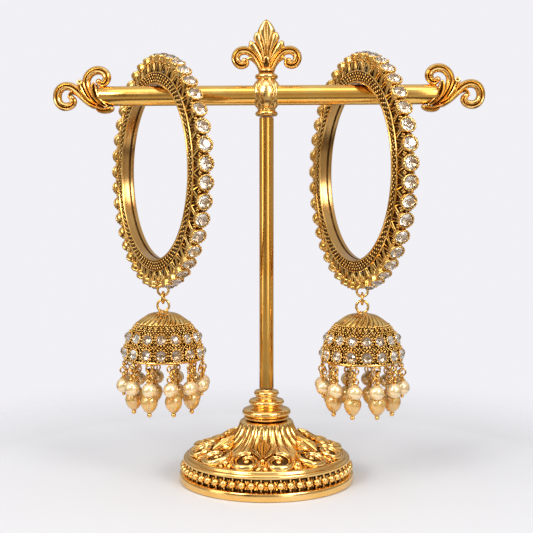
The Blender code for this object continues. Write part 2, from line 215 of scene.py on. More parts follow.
def turnedMesh(outline, steps, ripple=None, closed=False, tintOf=None):
    points, rows, faces, tints = [], [], [], []
    for radius, level in outline:
        if radius < 1e-6:
            rows.append([len(points)])
            points.append((0.0, 0.0, level))
            continue
        rows.append(list(range(len(points), len(points) + steps)))
        for step in range(steps):
            angle = turnOf(step, steps)
            across, height = ripple(angle, radius, level) if ripple else (radius, level)
            points.append((across * math.cos(angle), across * math.sin(angle), height))
    middles = outline + [outline[0]]
    for index in range(len(rows) if closed else len(rows) - 1):
        upper, lower = rows[index], rows[(index + 1) % len(rows)]
        radius = 0.5 * (middles[index][0] + middles[index + 1][0])
        level = 0.5 * (middles[index][1] + middles[index + 1][1])
        for step in range(steps):
            ahead = (step + 1) % steps
            corners = [upper[place % len(upper)] for place in (step, ahead)]
            corners += [lower[place % len(lower)] for place in (ahead, step)]
            face = [corner for place, corner in enumerate(corners) if corner not in corners[:place]]
            if len(face) > 2:
                faces.append(face)
                tints.append(tintOf(turnOf(step + 0.5, steps), radius, level) if tintOf else 0)
    return plainMesh(points, faces, tints)


def bulge(inner, outer, low, high, steps=7):
    # a rounded moulding on a turned outline, from its lower to its upper edge
    middle, half = 0.5 * (low + high), 0.5 * (high - low)
    angles = [math.pi * step / steps for step in range(steps + 1)]
    return [(inner + (outer - inner) * math.sin(angle), middle - half * math.cos(angle)) for angle in angles]


def readOut(group, field, kind=numpy.int64, width=1):
    values = numpy.empty(len(group) * width, dtype=kind)
    group.foreach_get(field, values)
    return values


def makePiece(name, parts, finishes, body, nodes=(), sharp=38.0):
    # joins (mesh, matrix, finish) parts into one piece; finish None keeps the mesh's own tints
    spots, loops, starts, tints = [], [], [], []
    pointCount = loopCount = 0
    kept = {}
    for mesh, matrix, finish in parts:
        if mesh.name not in kept:
            kept[mesh.name] = (
                readOut(mesh.vertices, "co", float, 3).reshape(-1, 3),
                readOut(mesh.loops, "vertex_index"),
                readOut(mesh.polygons, "loop_start"),
                readOut(mesh.polygons, "material_index"),
            )
        spot, corner, start, tint = kept[mesh.name]
        turn = numpy.array(matrix)
        spots.append((spot @ turn[:3, :3].T + turn[:3, 3]) * mm)
        loops.append(corner + pointCount)
        starts.append(start + loopCount)
        tints.append(tint if finish is None else numpy.full(len(tint), finish))
        pointCount += len(spot)
        loopCount += len(corner)
    joined = bpy.data.meshes.new(name)
    joined.vertices.add(pointCount)
    joined.vertices.foreach_set("co", numpy.concatenate(spots).ravel())
    joined.loops.add(loopCount)
    joined.loops.foreach_set("vertex_index", numpy.concatenate(loops))
    joined.polygons.add(sum(len(start) for start in starts))
    joined.polygons.foreach_set("loop_start", numpy.concatenate(starts))
    joined.polygons.foreach_set("material_index", numpy.concatenate(tints))
    joined.update(calc_edges=True)
    joined.validate()
    joined.shade_smooth()
    joined.set_sharp_from_angle(angle=math.radians(sharp))
    for finish in finishes:
        joined.materials.append(finish)
    piece = addObject(name, joined)
    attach(piece, body)
    if nodes:
        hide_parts(*nodes)


def mirrorParts(parts):
    # the same parts, mirrored across the middle
    others = []
    for mesh, matrix, finish in parts:
        other = mesh.copy()
        other.transform(matrix)
        others.append((mirrored(other, right), here, finish))
    return others


def makeStandPiece(name, parts, node, finishes=None):
    makePiece(name, parts, finishes or [standGold, shadeAndPatinaGold], "stand", [node])


def newFinish(name, constants):
    finish = bpy.data.materials.new(name)
    finish.use_nodes = True
    tree = finish.node_tree
    shader = tree.nodes["Principled BSDF"]
    for socket, value in constants.items():
        shader.inputs[socket].default_value = value
    return finish, tree, shader


def noiseNode(tree, scale, detail):
    coordinates = tree.nodes.new("ShaderNodeTexCoord")
    noise = tree.nodes.new("ShaderNodeTexNoise")
    noise.inputs["Scale"].default_value = scale
    noise.inputs["Detail"].default_value = detail
    tree.links.new(coordinates.outputs["Object"], noise.inputs["Vector"])
    return noise


def rampNode(tree, source, stops):
    ramp = tree.nodes.new("ShaderNodeValToRGB")
    while len(ramp.color_ramp.elements) < len(stops):
        ramp.color_ramp.elements.new(0.5)
    for element, (place, colour) in zip(ramp.color_ramp.elements, stops):
        element.position = place
        element.color = (*colour, 1.0)
    tree.links.new(source, ramp.inputs["Fac"])
    return ramp


def rangeNode(tree, source, fromRange, toRange):
    node = tree.nodes.new("ShaderNodeMapRange")
    for socket, value in zip(("From Min", "From Max", "To Min", "To Max"), (*fromRange, *toRange)):
        node.inputs[socket].default_value = value
    tree.links.new(source, node.inputs["Value"])
    return node


def driftTone(tree, scale, detail, stops):
    # a colour that drifts over the surface
    drift = noiseNode(tree, scale, detail)
    return rampNode(tree, drift.outputs["Fac"], stops).outputs["Color"]


def driftPolish(tree, shader, scale, polish):
    noise = noiseNode(tree, scale, 2.0)
    rough = rangeNode(tree, noise.outputs["Fac"], (0.3, 0.7), polish)
    tree.links.new(rough.outputs["Result"], shader.inputs["Roughness"])


def addGrain(tree, shader, scale, depth):
    grain = noiseNode(tree, scale, 3.0)
    bump = tree.nodes.new("ShaderNodeBump")
    bump.inputs["Strength"].default_value = 1.0
    bump.inputs["Distance"].default_value = depth * mm
    tree.links.new(grain.outputs["Fac"], bump.inputs["Height"])
    tree.links.new(bump.outputs["Normal"], shader.inputs["Normal"])


def goldFinish(name, look, metal=1.0):
    # metal whose colour and polish drift a little, darkened by ambient occlusion where the shape closes in:
    # painted shade in the hollows, partly standing for patina
    finish, tree, shader = newFinish(name, {"Metallic": metal})
    stops = [(0.3, look["deep"]), (0.5, look["gold"]), (0.7, look["pale"])]
    tone = driftTone(tree, look["driftScale"], 4.0, stops)
    # ambient occlusion darkens hollows and gaps between parts: painted shade, partly patina
    cover = tree.nodes.new("ShaderNodeAmbientOcclusion")
    cover.samples = 6
    cover.inputs["Distance"].default_value = look["shadeAndPatinaReach"] * mm
    unshadedShare = rangeNode(tree, cover.outputs["AO"], look["shadeAndPatinaRange"], (0.0, 1.0))
    mix = tree.nodes.new("ShaderNodeMix")
    mix.data_type = "RGBA"
    mix.inputs["A"].default_value = (*look["shadeAndPatina"], 1.0)
    tree.links.new(unshadedShare.outputs["Result"], mix.inputs["Factor"])
    tree.links.new(tone, mix.inputs["B"])
    tree.links.new(mix.outputs["Result"], shader.inputs["Base Color"])
    driftPolish(tree, shader, look["polishScale"], look["polish"])
    addGrain(tree, shader, look["grainScale"], look["grainDepth"])
    return finish


print("Mixing the finishes")
standLook = {
    "deep": (0.90, 0.53, 0.15),
    "gold": (0.95, 0.60, 0.20),
    "pale": (0.98, 0.67, 0.27),
    "driftScale": 90.0,
    "shadeAndPatina": (0.24, 0.11, 0.025),
    "shadeAndPatinaReach": 1.3,
    "shadeAndPatinaRange": (0.08, 0.50),
    "polishScale": 160.0,
    "polish": (0.13, 0.22),
    "grainScale": 900.0,
    "grainDepth": 0.005,
}
rodLook = {"deep": (0.94, 0.49, 0.09), "gold": (0.98, 0.56, 0.13), "pale": (1.0, 0.63, 0.18)}
standGold = goldFinish("standGold", standLook)
barGold = goldFinish("barGold", {**standLook, **rodLook})
# near-black gold for grooves, relief ground, webs and the gaps behind grains: painted shade, partly patina
shadeAndPatinaGold = goldFinish("shadeAndPatinaGold", {
    "deep": (0.07, 0.030, 0.007),
    "gold": (0.12, 0.055, 0.014),
    "pale": (0.22, 0.11, 0.030),
    "driftScale": 420.0,
    "shadeAndPatina": (0.035, 0.014, 0.004),
    "shadeAndPatinaReach": 1.2,
    "shadeAndPatinaRange": (0.10, 0.70),
    "polishScale": 300.0,
    "polish": (0.35, 0.55),
    "grainScale": 1600.0,
    "grainDepth": 0.02,
})
antiqueGold = goldFinish("antiqueGold", {
    "deep": (0.74, 0.40, 0.085),
    "gold": (0.89, 0.54, 0.15),
    "pale": (0.97, 0.68, 0.27),
    "driftScale": 260.0,
    "shadeAndPatina": (0.11, 0.045, 0.010),
    "shadeAndPatinaReach": 0.9,
    "shadeAndPatinaRange": (0.16, 0.62),
    "polishScale": 420.0,
    "polish": (0.11, 0.21),
    "grainScale": 2200.0,
    "grainDepth": 0.010,
})
# a darker copy of the gold for the bangle's inner wall: painted shade
shadedWallGold = goldFinish("shadedWallGold", {
    "deep": (0.50, 0.27, 0.08),
    "gold": (0.60, 0.35, 0.12),
    "pale": (0.68, 0.42, 0.16),
    "driftScale": 45.0,
    "shadeAndPatina": (0.12, 0.05, 0.012),
    "shadeAndPatinaReach": 1.2,
    "shadeAndPatinaRange": (0.05, 0.45),
    "polishScale": 120.0,
    "polish": (0.20, 0.28),
    "grainScale": 700.0,
    "grainDepth": 0.003,
})
foil = goldFinish("stoneFoil", {
    "deep": (0.58, 0.34, 0.14),
    "gold": (0.88, 0.66, 0.40),
    "pale": (1.0, 0.92, 0.80),
    "driftScale": 700.0,
    "shadeAndPatina": (0.30, 0.20, 0.12),
    "shadeAndPatinaReach": 0.3,
    "shadeAndPatinaRange": (0.0, 0.35),
    "polishScale": 500.0,
    "polish": (0.12, 0.22),
    "grainScale": 1200.0,
    "grainDepth": 0.004,
}, metal=0.55)


def crystalFinish():
    # clear glass with smoky patches
    finish, tree, shader = newFinish("crystal", {
        "Transmission Weight": 1.0,
        "IOR": 1.62,
        "Coat Weight": 1.0,
        "Coat IOR": 1.7,
        "Coat Roughness": 0.04,
    })
    look = {"smoke": (0.93, 0.82, 0.67), "clear": (1.0, 0.965, 0.91), "scales": (500.0, 900.0)}
    tone = driftTone(tree, look["scales"][0], 2.0, [(0.35, look["smoke"]), (0.6, look["clear"])])
    tree.links.new(tone, shader.inputs["Base Color"])
    driftPolish(tree, shader, look["scales"][1], (0.0, 0.02))
    return finish


def beadFinish(name, look):
    finish, tree, shader = newFinish(name, look["constants"])
    tone = driftTone(tree, look["driftScale"], 3.0, [(0.3, look["deep"]), (0.7, look["pale"])])
    tree.links.new(tone, shader.inputs["Base Color"])
    driftPolish(tree, shader, look["driftScale"] * 2.0, look["polish"])
    addGrain(tree, shader, look["grainScale"], look["grainDepth"])
    return finish


crystal = crystalFinish()
pearl = beadFinish("pearl", {
    "constants": {
        "Metallic": 0.42,
        "Subsurface Weight": 0.25,
        "Subsurface Radius": (1.0, 0.6, 0.3),
        "Subsurface Scale": 0.0012,
        "IOR": 1.7,
        "Coat Weight": 1.0,
        "Coat Roughness": 0.08,
        "Coat IOR": 2.2,
        "Coat Tint": (1.0, 0.84, 0.58, 1.0),
    },
    "deep": (0.94, 0.80, 0.58),
    "pale": (0.99, 0.91, 0.74),
    "driftScale": 380.0,
    "polish": (0.20, 0.30),
    "grainScale": 1500.0,
    "grainDepth": 0.004,
})
resin = beadFinish("resin", {
    "constants": {
        "Metallic": 0.22,
        "Subsurface Weight": 0.6,
        "Subsurface Radius": (1.0, 0.55, 0.25),
        "Subsurface Scale": 0.002,
        "Transmission Weight": 0.35,
        "IOR": 1.5,
        "Coat Weight": 1.0,
        "Coat Roughness": 0.06,
        "Coat IOR": 1.8,
        "Coat Tint": (1.0, 0.80, 0.48, 1.0),
    },
    "deep": (0.93, 0.70, 0.36),
    "pale": (0.99, 0.84, 0.55),
    "driftScale": 450.0,
    "polish": (0.14, 0.26),
    "grainScale": 700.0,
    "grainDepth": 0.02,
})

# Sections of the cast work: (across, forward), the front half and its mirror at the back
ridgedFront = [
    (-1.0, 0.0), (-0.95, 0.36), (-0.82, 0.68), (-0.62, 0.91), (-0.40, 1.0), (-0.18, 0.90), (0.0, 0.64),
    (0.10, 0.36), (0.16, 0.16), (0.22, 0.34), (0.36, 0.56), (0.58, 0.66), (0.78, 0.55), (0.93, 0.30),
    (1.0, 0.0),
]


def evenFront(half):
    # a section alike on both sides of its middle
    return half + [(-u, v) for u, v in reversed(half) if u]


plumpFront = evenFront([(-1.0, 0.0), (-0.95, 0.36), (-0.82, 0.66), (-0.58, 0.88), (-0.28, 0.98), (0.0, 1.0)])
leafFront = evenFront([
    (-1.0, 0.0), (-0.97, 0.42), (-0.84, 0.78), (-0.66, 0.86), (-0.46, 0.62), (-0.26, 0.40), (-0.09, 0.30),
    (0.0, 0.10),
])
domedFront = evenFront([
    (-1.0, 0.0), (-0.93, 0.40), (-0.76, 0.72), (-0.50, 0.93), (-0.24, 0.96), (-0.09, 0.86), (-0.03, 0.72),
])


def bothSides(half):
    return half + [(u, -v) for u, v in reversed(half[1:-1])]


def groovesOf(half, dark):
    # the section's faces that lie in the groove, on the front and on the back, which take painted shade
    total = 2 * len(half) - 2
    return set(dark) | {total - 1 - index for index in dark}


ridgeSection = bothSides(ridgedFront)
ridgeGrooves = groovesOf(ridgedFront, (7, 8))
leafSection = bothSides(leafFront)

barSizes = {
    "radius": 3.35,
    "halfLength": 57.0,
    "level": 131.45,
    "sides": 72,
    "edge": 0.35,
}
scrollSizes = {
    "wire": 1.48,
    "volutes": {
        "outer": [
            (9.9, -0.45), (9.1, -1.35), (9.5, -2.6), (10.8, -3.35), (12.3, -3.45), (13.6, -2.85),
            (14.45, -1.6), (14.7, 0.0), (14.35, 1.6), (13.4, 2.85), (12.0, 3.45), (10.4, 3.4), (8.7, 2.65),
            (6.8, 0.95), (4.7, -1.3), (2.3, -2.95), (0.3, -3.6), (-1.3, -3.9),
        ],
        "upper": [
            (0.45, 5.05), (-0.4, 4.35), (-1.55, 4.55), (-2.3, 5.45), (-2.5, 6.6), (-2.0, 7.7), (-0.9, 8.5),
            (0.6, 8.8), (2.1, 8.5), (3.4, 7.6), (4.3, 6.3), (4.55, 4.8), (4.2, 3.1), (3.35, 1.1),
            (2.0, -0.9), (0.3, -2.5), (-1.3, -3.6),
        ],
    },
    "swelling": [
        (0.0, 0.62), (0.08, 0.86), (0.22, 1.0), (0.5, 1.02), (0.72, 0.98), (0.88, 0.80), (1.0, 0.42),
    ],
    "thickness": [(0.0, 0.75), (0.2, 1.0), (0.75, 1.1), (0.88, 1.45), (1.0, 1.3)],
    "eye": 1.05,
    "leaves": {
        "tendril": {
            "path": [
                (10.75, -0.2), (9.9, 1.15), (8.0, 0.85), (6.1, -0.6), (4.1, -2.3), (2.1, -3.55), (0.1, -4.15),
            ],
            "wide": [0.45, 0.62, 0.72, 0.8, 0.8, 0.75, 0.4],
        },
        "cupped": {
            "path": [
                (1.6, 4.15), (1.65, 3.0), (1.45, 1.6), (0.85, -0.2), (-0.3, -1.8), (-1.6, -2.9), (-2.8, -3.5),
            ],
            "wide": [0.5, 1.0, 1.25, 1.15, 0.95, 0.75, 0.35],
            "forward": 2.1,
        },
        "under": {
            "path": [(0.9, -4.0), (0.2, -4.7), (-1.2, -4.95), (-2.9, -4.75), (-4.4, -4.2)],
            "wide": [0.4, 0.8, 0.95, 0.95, 0.75],
            "forward": 0.7,
        },
        "budStem": {
            "path": [(6.95, 4.1), (6.6, 2.8), (5.8, 0.9), (4.5, -0.9), (2.9, -2.4), (1.0, -3.4)],
            "wide": [0.55, 0.8, 0.8, 0.75, 0.65, 0.4],
            "forward": 0.7,
        },
    },
    "web": {
        "path": [(-0.6, -3.6), (1.8, -1.9), (3.8, 0.4), (5.5, 2.6), (6.4, 3.9)],
        "wide": [0.8, 1.7, 2.0, 1.5, 0.5],
    },
    "bud": (6.95, 4.7),
    "budRing": (0.66, 0.42),
    "budHeart": 0.5,
    "boss": [(0.0, -0.6), (2.6, -0.6), (2.9, -0.1), (2.7, 0.5), (2.0, 1.1), (1.0, 1.5), (0.0, 1.6)],
}


def evenSpread(wide, count):
    # widths along a path, read from a table of evenly spaced ones
    shares = [index / (len(wide) - 1) for index in range(len(wide))]
    return spreadOut(list(zip(shares, wide)), count)


def webMesh(path, wide, deep):
    return sweptMesh(path, roundSection(16), evenSpread(wide, len(path)), [deep] * len(path))


def flipped(section):
    return [(-u, v) for u, v in section]


def scrollParts():
    # one scrolled end of the bar, drawn for the +X side
    size = scrollSizes
    barEnd = barSizes["halfLength"]
    level = barSizes["level"]

    def spot(reach, rise, forward=0.0):
        return Vector((barEnd + reach, -forward, level + rise))

    parts = []
    for name, section in (("outer", ridgeSection), ("upper", flipped(ridgeSection))):
        path = smoothLine([spot(*place) for place in size["volutes"][name]], 5)
        wide = spreadOut(size["swelling"], len(path), size["wire"])
        deep = spreadOut(size["thickness"], len(path), size["wire"] * 1.1)
        parts.append((sweptMesh(path, section, wide, deep, grooves=ridgeGrooves), here, None))
        parts.append((ballMesh(size["eye"], 3), moved(path[1]), 0))
    for name, leaf in size["leaves"].items():
        forward = leaf.get("forward", 0.0)
        path = smoothLine([spot(*place, forward) for place in leaf["path"]], 7)
        wide = evenSpread(leaf["wide"], len(path))
        deep = [1.25 * width for width in wide]
        # the leaves' groove faces get painted shade
        dark = groovesOf(leafFront, (5, 6, 7, 8) if name == "cupped" else (6, 7))
        blade = sweptMesh(path, leafSection, wide, deep, grooves=dark)
        parts.append((blade, here, None))
        for end in (0, -1):
            parts.append((ballMesh(wide[end] * 1.08, 2), moved(path[end]), 0))
        if forward:
            parts.append((mirrored(blade, front), here, None))
    path = smoothLine([spot(*place) for place in size["web"]["path"]], 6)
    # a dark web filling the gaps behind the scrolls: painted shade
    parts.append((webMesh(path, size["web"]["wide"], 0.55), here, 1))
    bud = spot(*size["bud"])
    parts.append((ringMesh(*size["budRing"], front, 20, 8), moved(bud), 0))
    # the bud's dark heart: painted shade
    parts.append((ballMesh(size["budHeart"], 2), moved(bud) @ Matrix.Diagonal((1.0, 0.6, 1.0, 1.0)), 1))
    parts.append((turnedMesh(size["boss"], 40), moved(spot(0.0, 0.0)) @ sideways, 0))
    return parts


print("Drawing the bar and its scrolled ends")
radius, half, edge = barSizes["radius"], barSizes["halfLength"], barSizes["edge"]
barOutline = [(0.0, -half), (radius - edge, -half), (radius - 0.1, -half + 0.1), (radius, -half + edge)]
barOutline += [(radius, level * half / 6.0) for level in range(-5, 6)]
barOutline += [(radius, half - edge), (radius - 0.1, half - 0.1), (radius - edge, half), (0.0, half)]
along = at(0.0, 0.0, barSizes["level"]) @ sideways
makeStandPiece("crossbarRod", [(turnedMesh(barOutline, barSizes["sides"]), along, 0)], "crossbar", [barGold])
scroll = scrollParts()
makeStandPiece("rightScrolledEnd", scroll, "right_scroll")
makeStandPiece("leftScrolledEnd", mirrorParts(scroll), "left_scroll")

print("Turning the post, its collar and the knob")
postSizes = {"radius": 2.43, "low": 31.6, "high": 124.0, "edge": 0.2, "sides": 64}
low, high, radius, edge = postSizes["low"], postSizes["high"], postSizes["radius"], postSizes["edge"]
postOutline = [(0.0, low), (radius - edge, low), (radius, low + edge)]
postOutline += [(radius, low + (high - low) * share / 8.0) for share in range(1, 8)]
postOutline += [(radius, high - edge), (radius - edge, high), (0.0, high)]
makeStandPiece("postRod", [(turnedMesh(postOutline, postSizes["sides"]), here, 0)], "post", [barGold])

collarSizes = {"low": 21.1, "steps": 96}
collarOutline = [(0.0, 0.0), (6.9, 0.0)]
collarOutline += bulge(7.0, 7.75, 0.05, 0.95)
collarOutline += bulge(7.0, 8.3, 1.0, 3.6, 12)
collarOutline += [(5.7, 3.7), (5.2, 3.9), (4.95, 4.3), (5.0, 4.7)]
collarOutline += bulge(5.15, 6.05, 4.9, 6.7, 10)
collarOutline += [(4.3, 6.8), (3.8, 7.0), (3.55, 7.4), (3.6, 7.8)]
collarOutline += bulge(3.5, 4.25, 7.95, 9.75, 10)
collarOutline += [(2.9, 9.8), (2.7, 10.0), (2.6, 10.2), (0.0, 10.2)]
collar = turnedMesh(collarOutline, collarSizes["steps"])
makeStandPiece("postFootCollar", [(collar, at(0.0, 0.0, collarSizes["low"]), 0)], "post_collar", [standGold])

knobSizes = {
    "panels": 5,
    "panelHalf": 4.9,
    "grooveAt": 0.90,
    "grooveWide": 0.10,
    "depth": 0.42,
    "crown": 0.22,
    "low": 124.3,
    "middle": 7.3,
    "steps": 128,
}


def knobRipple(angle, radius, level):
    # the barrel's upright oval panels, parted by narrow grooves that close towards its ends
    size = knobSizes
    share = (level - size["middle"]) / size["panelHalf"]
    if abs(share) >= 1.0:
        return radius, level
    place = ((angle + math.pi / 2.0) * size["panels"] / (2.0 * math.pi) + 0.5) % 1.0
    across = abs(2.0 * place - 1.0)
    oval = math.sqrt(1.0 - share ** 2)
    edge = (across - size["grooveAt"] * oval) / size["grooveWide"]
    groove = math.exp(-edge ** 2) * min(1.0, 1.4 * oval)
    crown = size["crown"] * max(0.0, oval - across)
    return radius - size["depth"] * groove + crown, level


knobOutline = [(0.0, 0.0), (2.6, 0.0)]
knobOutline += bulge(3.0, 3.8, 0.1, 1.8, 9)
knobOutline += [(3.05, 2.0), (2.95, 2.3), (3.05, 2.6)]
barrel = [(3.2, 2.8), (3.8, 3.5), (4.5, 4.9), (4.85, 6.4), (4.9, 7.8), (4.65, 9.5), (4.1, 11.0), (3.4, 12.0)]
knobOutline += [tuple(point) for point in smoothLine(barrel, 4)]
knobOutline += [(3.1, 12.2), (3.05, 12.4)]
knobOutline += bulge(3.1, 3.85, 12.5, 14.2, 9)
knobOutline += [(2.9, 14.3), (2.6, 14.6), (0.0, 14.6)]
knob = turnedMesh(knobOutline, knobSizes["steps"], ripple=knobRipple)
makeStandPiece("crossKnob", [(knob, at(0.0, 0.0, knobSizes["low"]), 0)], "centre_knob", [standGold])

print("Carving the leaf finial")
finialSizes = {
    "level": 139.2,
    "wire": 1.5,
    "volute": [
        (7.75, 4.1), (6.95, 3.35), (7.5, 2.6), (8.7, 2.45), (9.8, 3.15), (10.4, 4.4), (10.2, 5.8),
        (9.3, 6.85), (8.0, 7.3), (6.4, 7.15), (4.9, 6.3), (3.6, 4.9), (2.5, 3.2), (1.7, 1.5), (1.3, 0.2),
    ],
    "swelling": [(0.0, 0.60), (0.10, 0.84), (0.25, 1.0), (0.6, 1.0), (0.85, 0.95), (1.0, 0.7)],
    "lobes": {
        "centre": {
            "path": [
                (0.0, 3.6), (0.0, 7.5), (0.0, 10.5), (0.0, 12.6), (0.0, 14.0), (0.0, 15.5), (0.0, 16.7),
                (0.0, 17.5),
            ],
            "wide": [0.4, 0.9, 1.8, 2.85, 2.95, 2.2, 1.25, 0.15],
            "deep": 1.45,
        },
        "upper": {
            "path": [(0.75, 3.8), (1.5, 7.4), (2.5, 10.0), (3.0, 11.4), (3.1, 12.5)],
            "wide": [0.3, 0.6, 1.05, 1.45, 1.1],
            "deep": 1.4,
        },
        "lower": {
            "path": [(1.1, 3.0), (2.3, 5.4), (3.8, 7.6), (4.7, 8.8), (5.15, 9.7)],
            "wide": [0.3, 0.7, 1.15, 1.4, 1.0],
            "deep": 1.35,
        },
        "hook": {
            "path": [(1.9, -0.2), (2.3, 1.5), (3.1, 3.0), (4.5, 4.3), (5.9, 4.6), (6.6, 4.2)],
            "wide": [0.7, 0.85, 0.9, 0.85, 0.6, 0.3],
            "deep": 1.1,
        },
    },
    "eye": 0.80,
    "web": {
        "path": [(0.0, 0.5), (0.0, 3.5), (0.0, 7.0), (0.0, 9.5), (0.0, 12.0)],
        "wide": [2.0, 2.6, 3.5, 4.0, 2.6],
    },
    "arch": [(-0.75, -1.5, 3.0), (-0.55, -1.6, 4.3), (0.0, -1.65, 4.8), (0.55, -1.6, 4.3), (0.75, -1.5, 3.0)],
}


def finialParts():
    size = finialSizes
    half = []
    parts = []

    def line(places, steps):
        return smoothLine([(across, 0.0, size["level"] + rise) for across, rise in places], steps)

    path = line(size["volute"], 5)
    wide = spreadOut(size["swelling"], len(path), size["wire"])
    deep = spreadOut(size["swelling"], len(path), size["wire"] * 1.15)
    half.append((sweptMesh(path, ridgeSection, wide, deep, grooves=ridgeGrooves), here, None))
    half.append((ballMesh(size["eye"], 3), moved(path[1]), 0))
    for name, lobe in size["lobes"].items():
        path = line(lobe["path"], 7)
        wide = evenSpread(lobe["wide"], len(path))
        deep = [lobe["deep"] * (0.35 + 0.65 * min(1.0, width / 1.2)) for width in wide]
        middle = name == "centre"
        blade = sweptMesh(path, bothSides(domedFront if middle else plumpFront), wide, deep)
        tip = ballMesh((0.95 if middle else 0.90) * wide[-1], 2)
        (parts if middle else half).extend([(blade, here, None), (tip, moved(path[-1]), 0)])
    parts += half + mirrorParts(half)
    # a dark web filling the gaps between the lobes: painted shade
    parts.append((webMesh(line(size["web"]["path"], 5), size["web"]["wide"], 0.6), here, 1))
    foot = turnedMesh([(0.0, 0.0)] + bulge(2.3, 2.8, 0.0, 1.0, 7) + [(2.3, 1.2), (1.6, 1.8), (0.0, 2.0)], 48)
    parts.append((foot, at(0.0, 0.0, size["level"]), 0))
    arch = wireMesh(smoothLine(size["arch"], 5), 0.28, 8)
    for turn in (0.0, math.pi):
        parts.append((arch, at(0.0, 0.0, size["level"]) @ Matrix.Rotation(turn, 4, "Z"), 0))
    return parts


makeStandPiece("leafFinial", finialParts(), "leaf_finial")

print("Casting the base")
baseSizes = {
    "steps": 240,
    "flutes": 30,
    "fluteDepth": 0.75,
    "fluteFoot": 17.2,
    "beads": 56,
    "beadRadius": 1.29,
    "beadRing": 28.5,
    "beadLevel": 5.0,
    "pegDepth": 0.45,
    "pegRing": 27.95,
    "pegLean": (0.6, 1.75),
    "pegScale": 0.72,
    "motifs": 6,
    "motifRadius": 21.8,
    "fluteLevels": (11.9, 20.4),
    "fluteFades": (0.9, 0.8),
    "fluteCurve": 1.3,
    "fluteFull": 14.0,
    "flutePull": (0.7, 0.55),
    "darkLevels": (12.3, 19.8),
    "channelLevels": (3.0, 7.0),
}
baseOutline = [
    (0.0, 0.0), (29.2, 0.0), (29.75, 0.15), (30.0, 0.7), (30.0, 2.35), (29.8, 2.75), (29.3, 2.95),
    (28.9, 3.0), (27.7, 3.05), (27.5, 3.3), (27.5, 6.7), (27.7, 6.95), (28.1, 7.0), (28.5, 7.15),
    (28.65, 7.5), (28.6, 7.95), (28.35, 8.3), (27.9, 8.45), (27.6, 8.45), (27.5, 8.65), (27.45, 8.95),
    (27.2, 9.3), (26.7, 9.45), (26.2, 9.35), (25.8, 9.1), (25.2, 9.15), (24.0, 9.65), (22.0, 10.4),
    (20.0, 11.1), (18.5, 11.6), (17.6, 11.95), (17.2, 12.1), (16.8, 12.3), (16.4, 12.45), (16.0, 12.65),
    (15.4, 12.95), (14.8, 13.3), (14.1, 13.7), (13.4, 14.15), (12.7, 14.65), (12.0, 15.25), (11.4, 15.85),
    (10.9, 16.45), (10.4, 17.1), (10.0, 17.8), (9.65, 18.55), (9.4, 19.25), (9.2, 19.9), (9.05, 20.3),
    (8.6, 20.6), (0.0, 20.8),
]
slopeRadii = [radius for radius, level in baseOutline[25:-1]][::-1]
slopeLevels = [level for radius, level in baseOutline[25:-1]][::-1]


def fluteShare(angle):
    return (angle * baseSizes["flutes"] / (2.0 * math.pi) + 0.5) % 1.0


def baseRipple(angle, radius, level):
    # scooped flutes on the flare, with thin ridges between them and rounded lower ends
    size = baseSizes
    low, high = size["fluteLevels"]
    if level < low or level > high:
        return radius, level
    share = fluteShare(angle)
    foot = size["fluteFoot"] - size["fluteCurve"] * (2.0 * share - 1.0) ** 2
    lowFade, highFade = size["fluteFades"]
    opening = min(1.0, max(0.0, (foot - radius) / lowFade)) * min(1.0, (high - level) / highFade)
    depth = size["fluteDepth"] * min(1.0, radius / size["fluteFull"])
    scoop = depth * 4.0 * share * (1.0 - share) * opening
    inward, down = size["flutePull"]
    return radius - inward * scoop, level - down * scoop


def baseTint(angle, radius, level):
    # painted shade on one side of each flute and behind the beads of the channel
    low, high = baseSizes["darkLevels"]
    if low < level < high:
        return 1 if 0.12 < fluteShare(angle) < 0.25 and radius < 16.4 else 0
    low, high = baseSizes["channelLevels"]
    return 1 if low < level < high and radius < 28.0 else 0


def onBase(angle, across, inward, lift):
    # a place on the slope of the base: across the motif, inward from its ring and above the surface
    radius = baseSizes["motifRadius"] - inward
    turn = angle + across / (0.5 * (radius + baseSizes["motifRadius"]))
    before, level, after = [readLine(radius + step, slopeRadii, slopeLevels) for step in (-0.3, 0.0, 0.3)]
    out = outAt(turn)
    normal = (up - out * ((after - before) / 0.6)).normalized()
    return out * radius + up * level + normal * lift, normal


def sweptOnBase(angle, places, widths, section, lift=0.1, deep=1.0, grooves=(), steps=6):
    line = smoothLine([(across, inward, 0.0) for across, inward in places], steps)
    spots, normals = zip(*[onBase(angle, place.x, place.y, lift) for place in line])
    wide = evenSpread(widths, len(line))
    return sweptMesh(spots, section, wide, [deep * width for width in wide], list(normals), grooves=grooves)


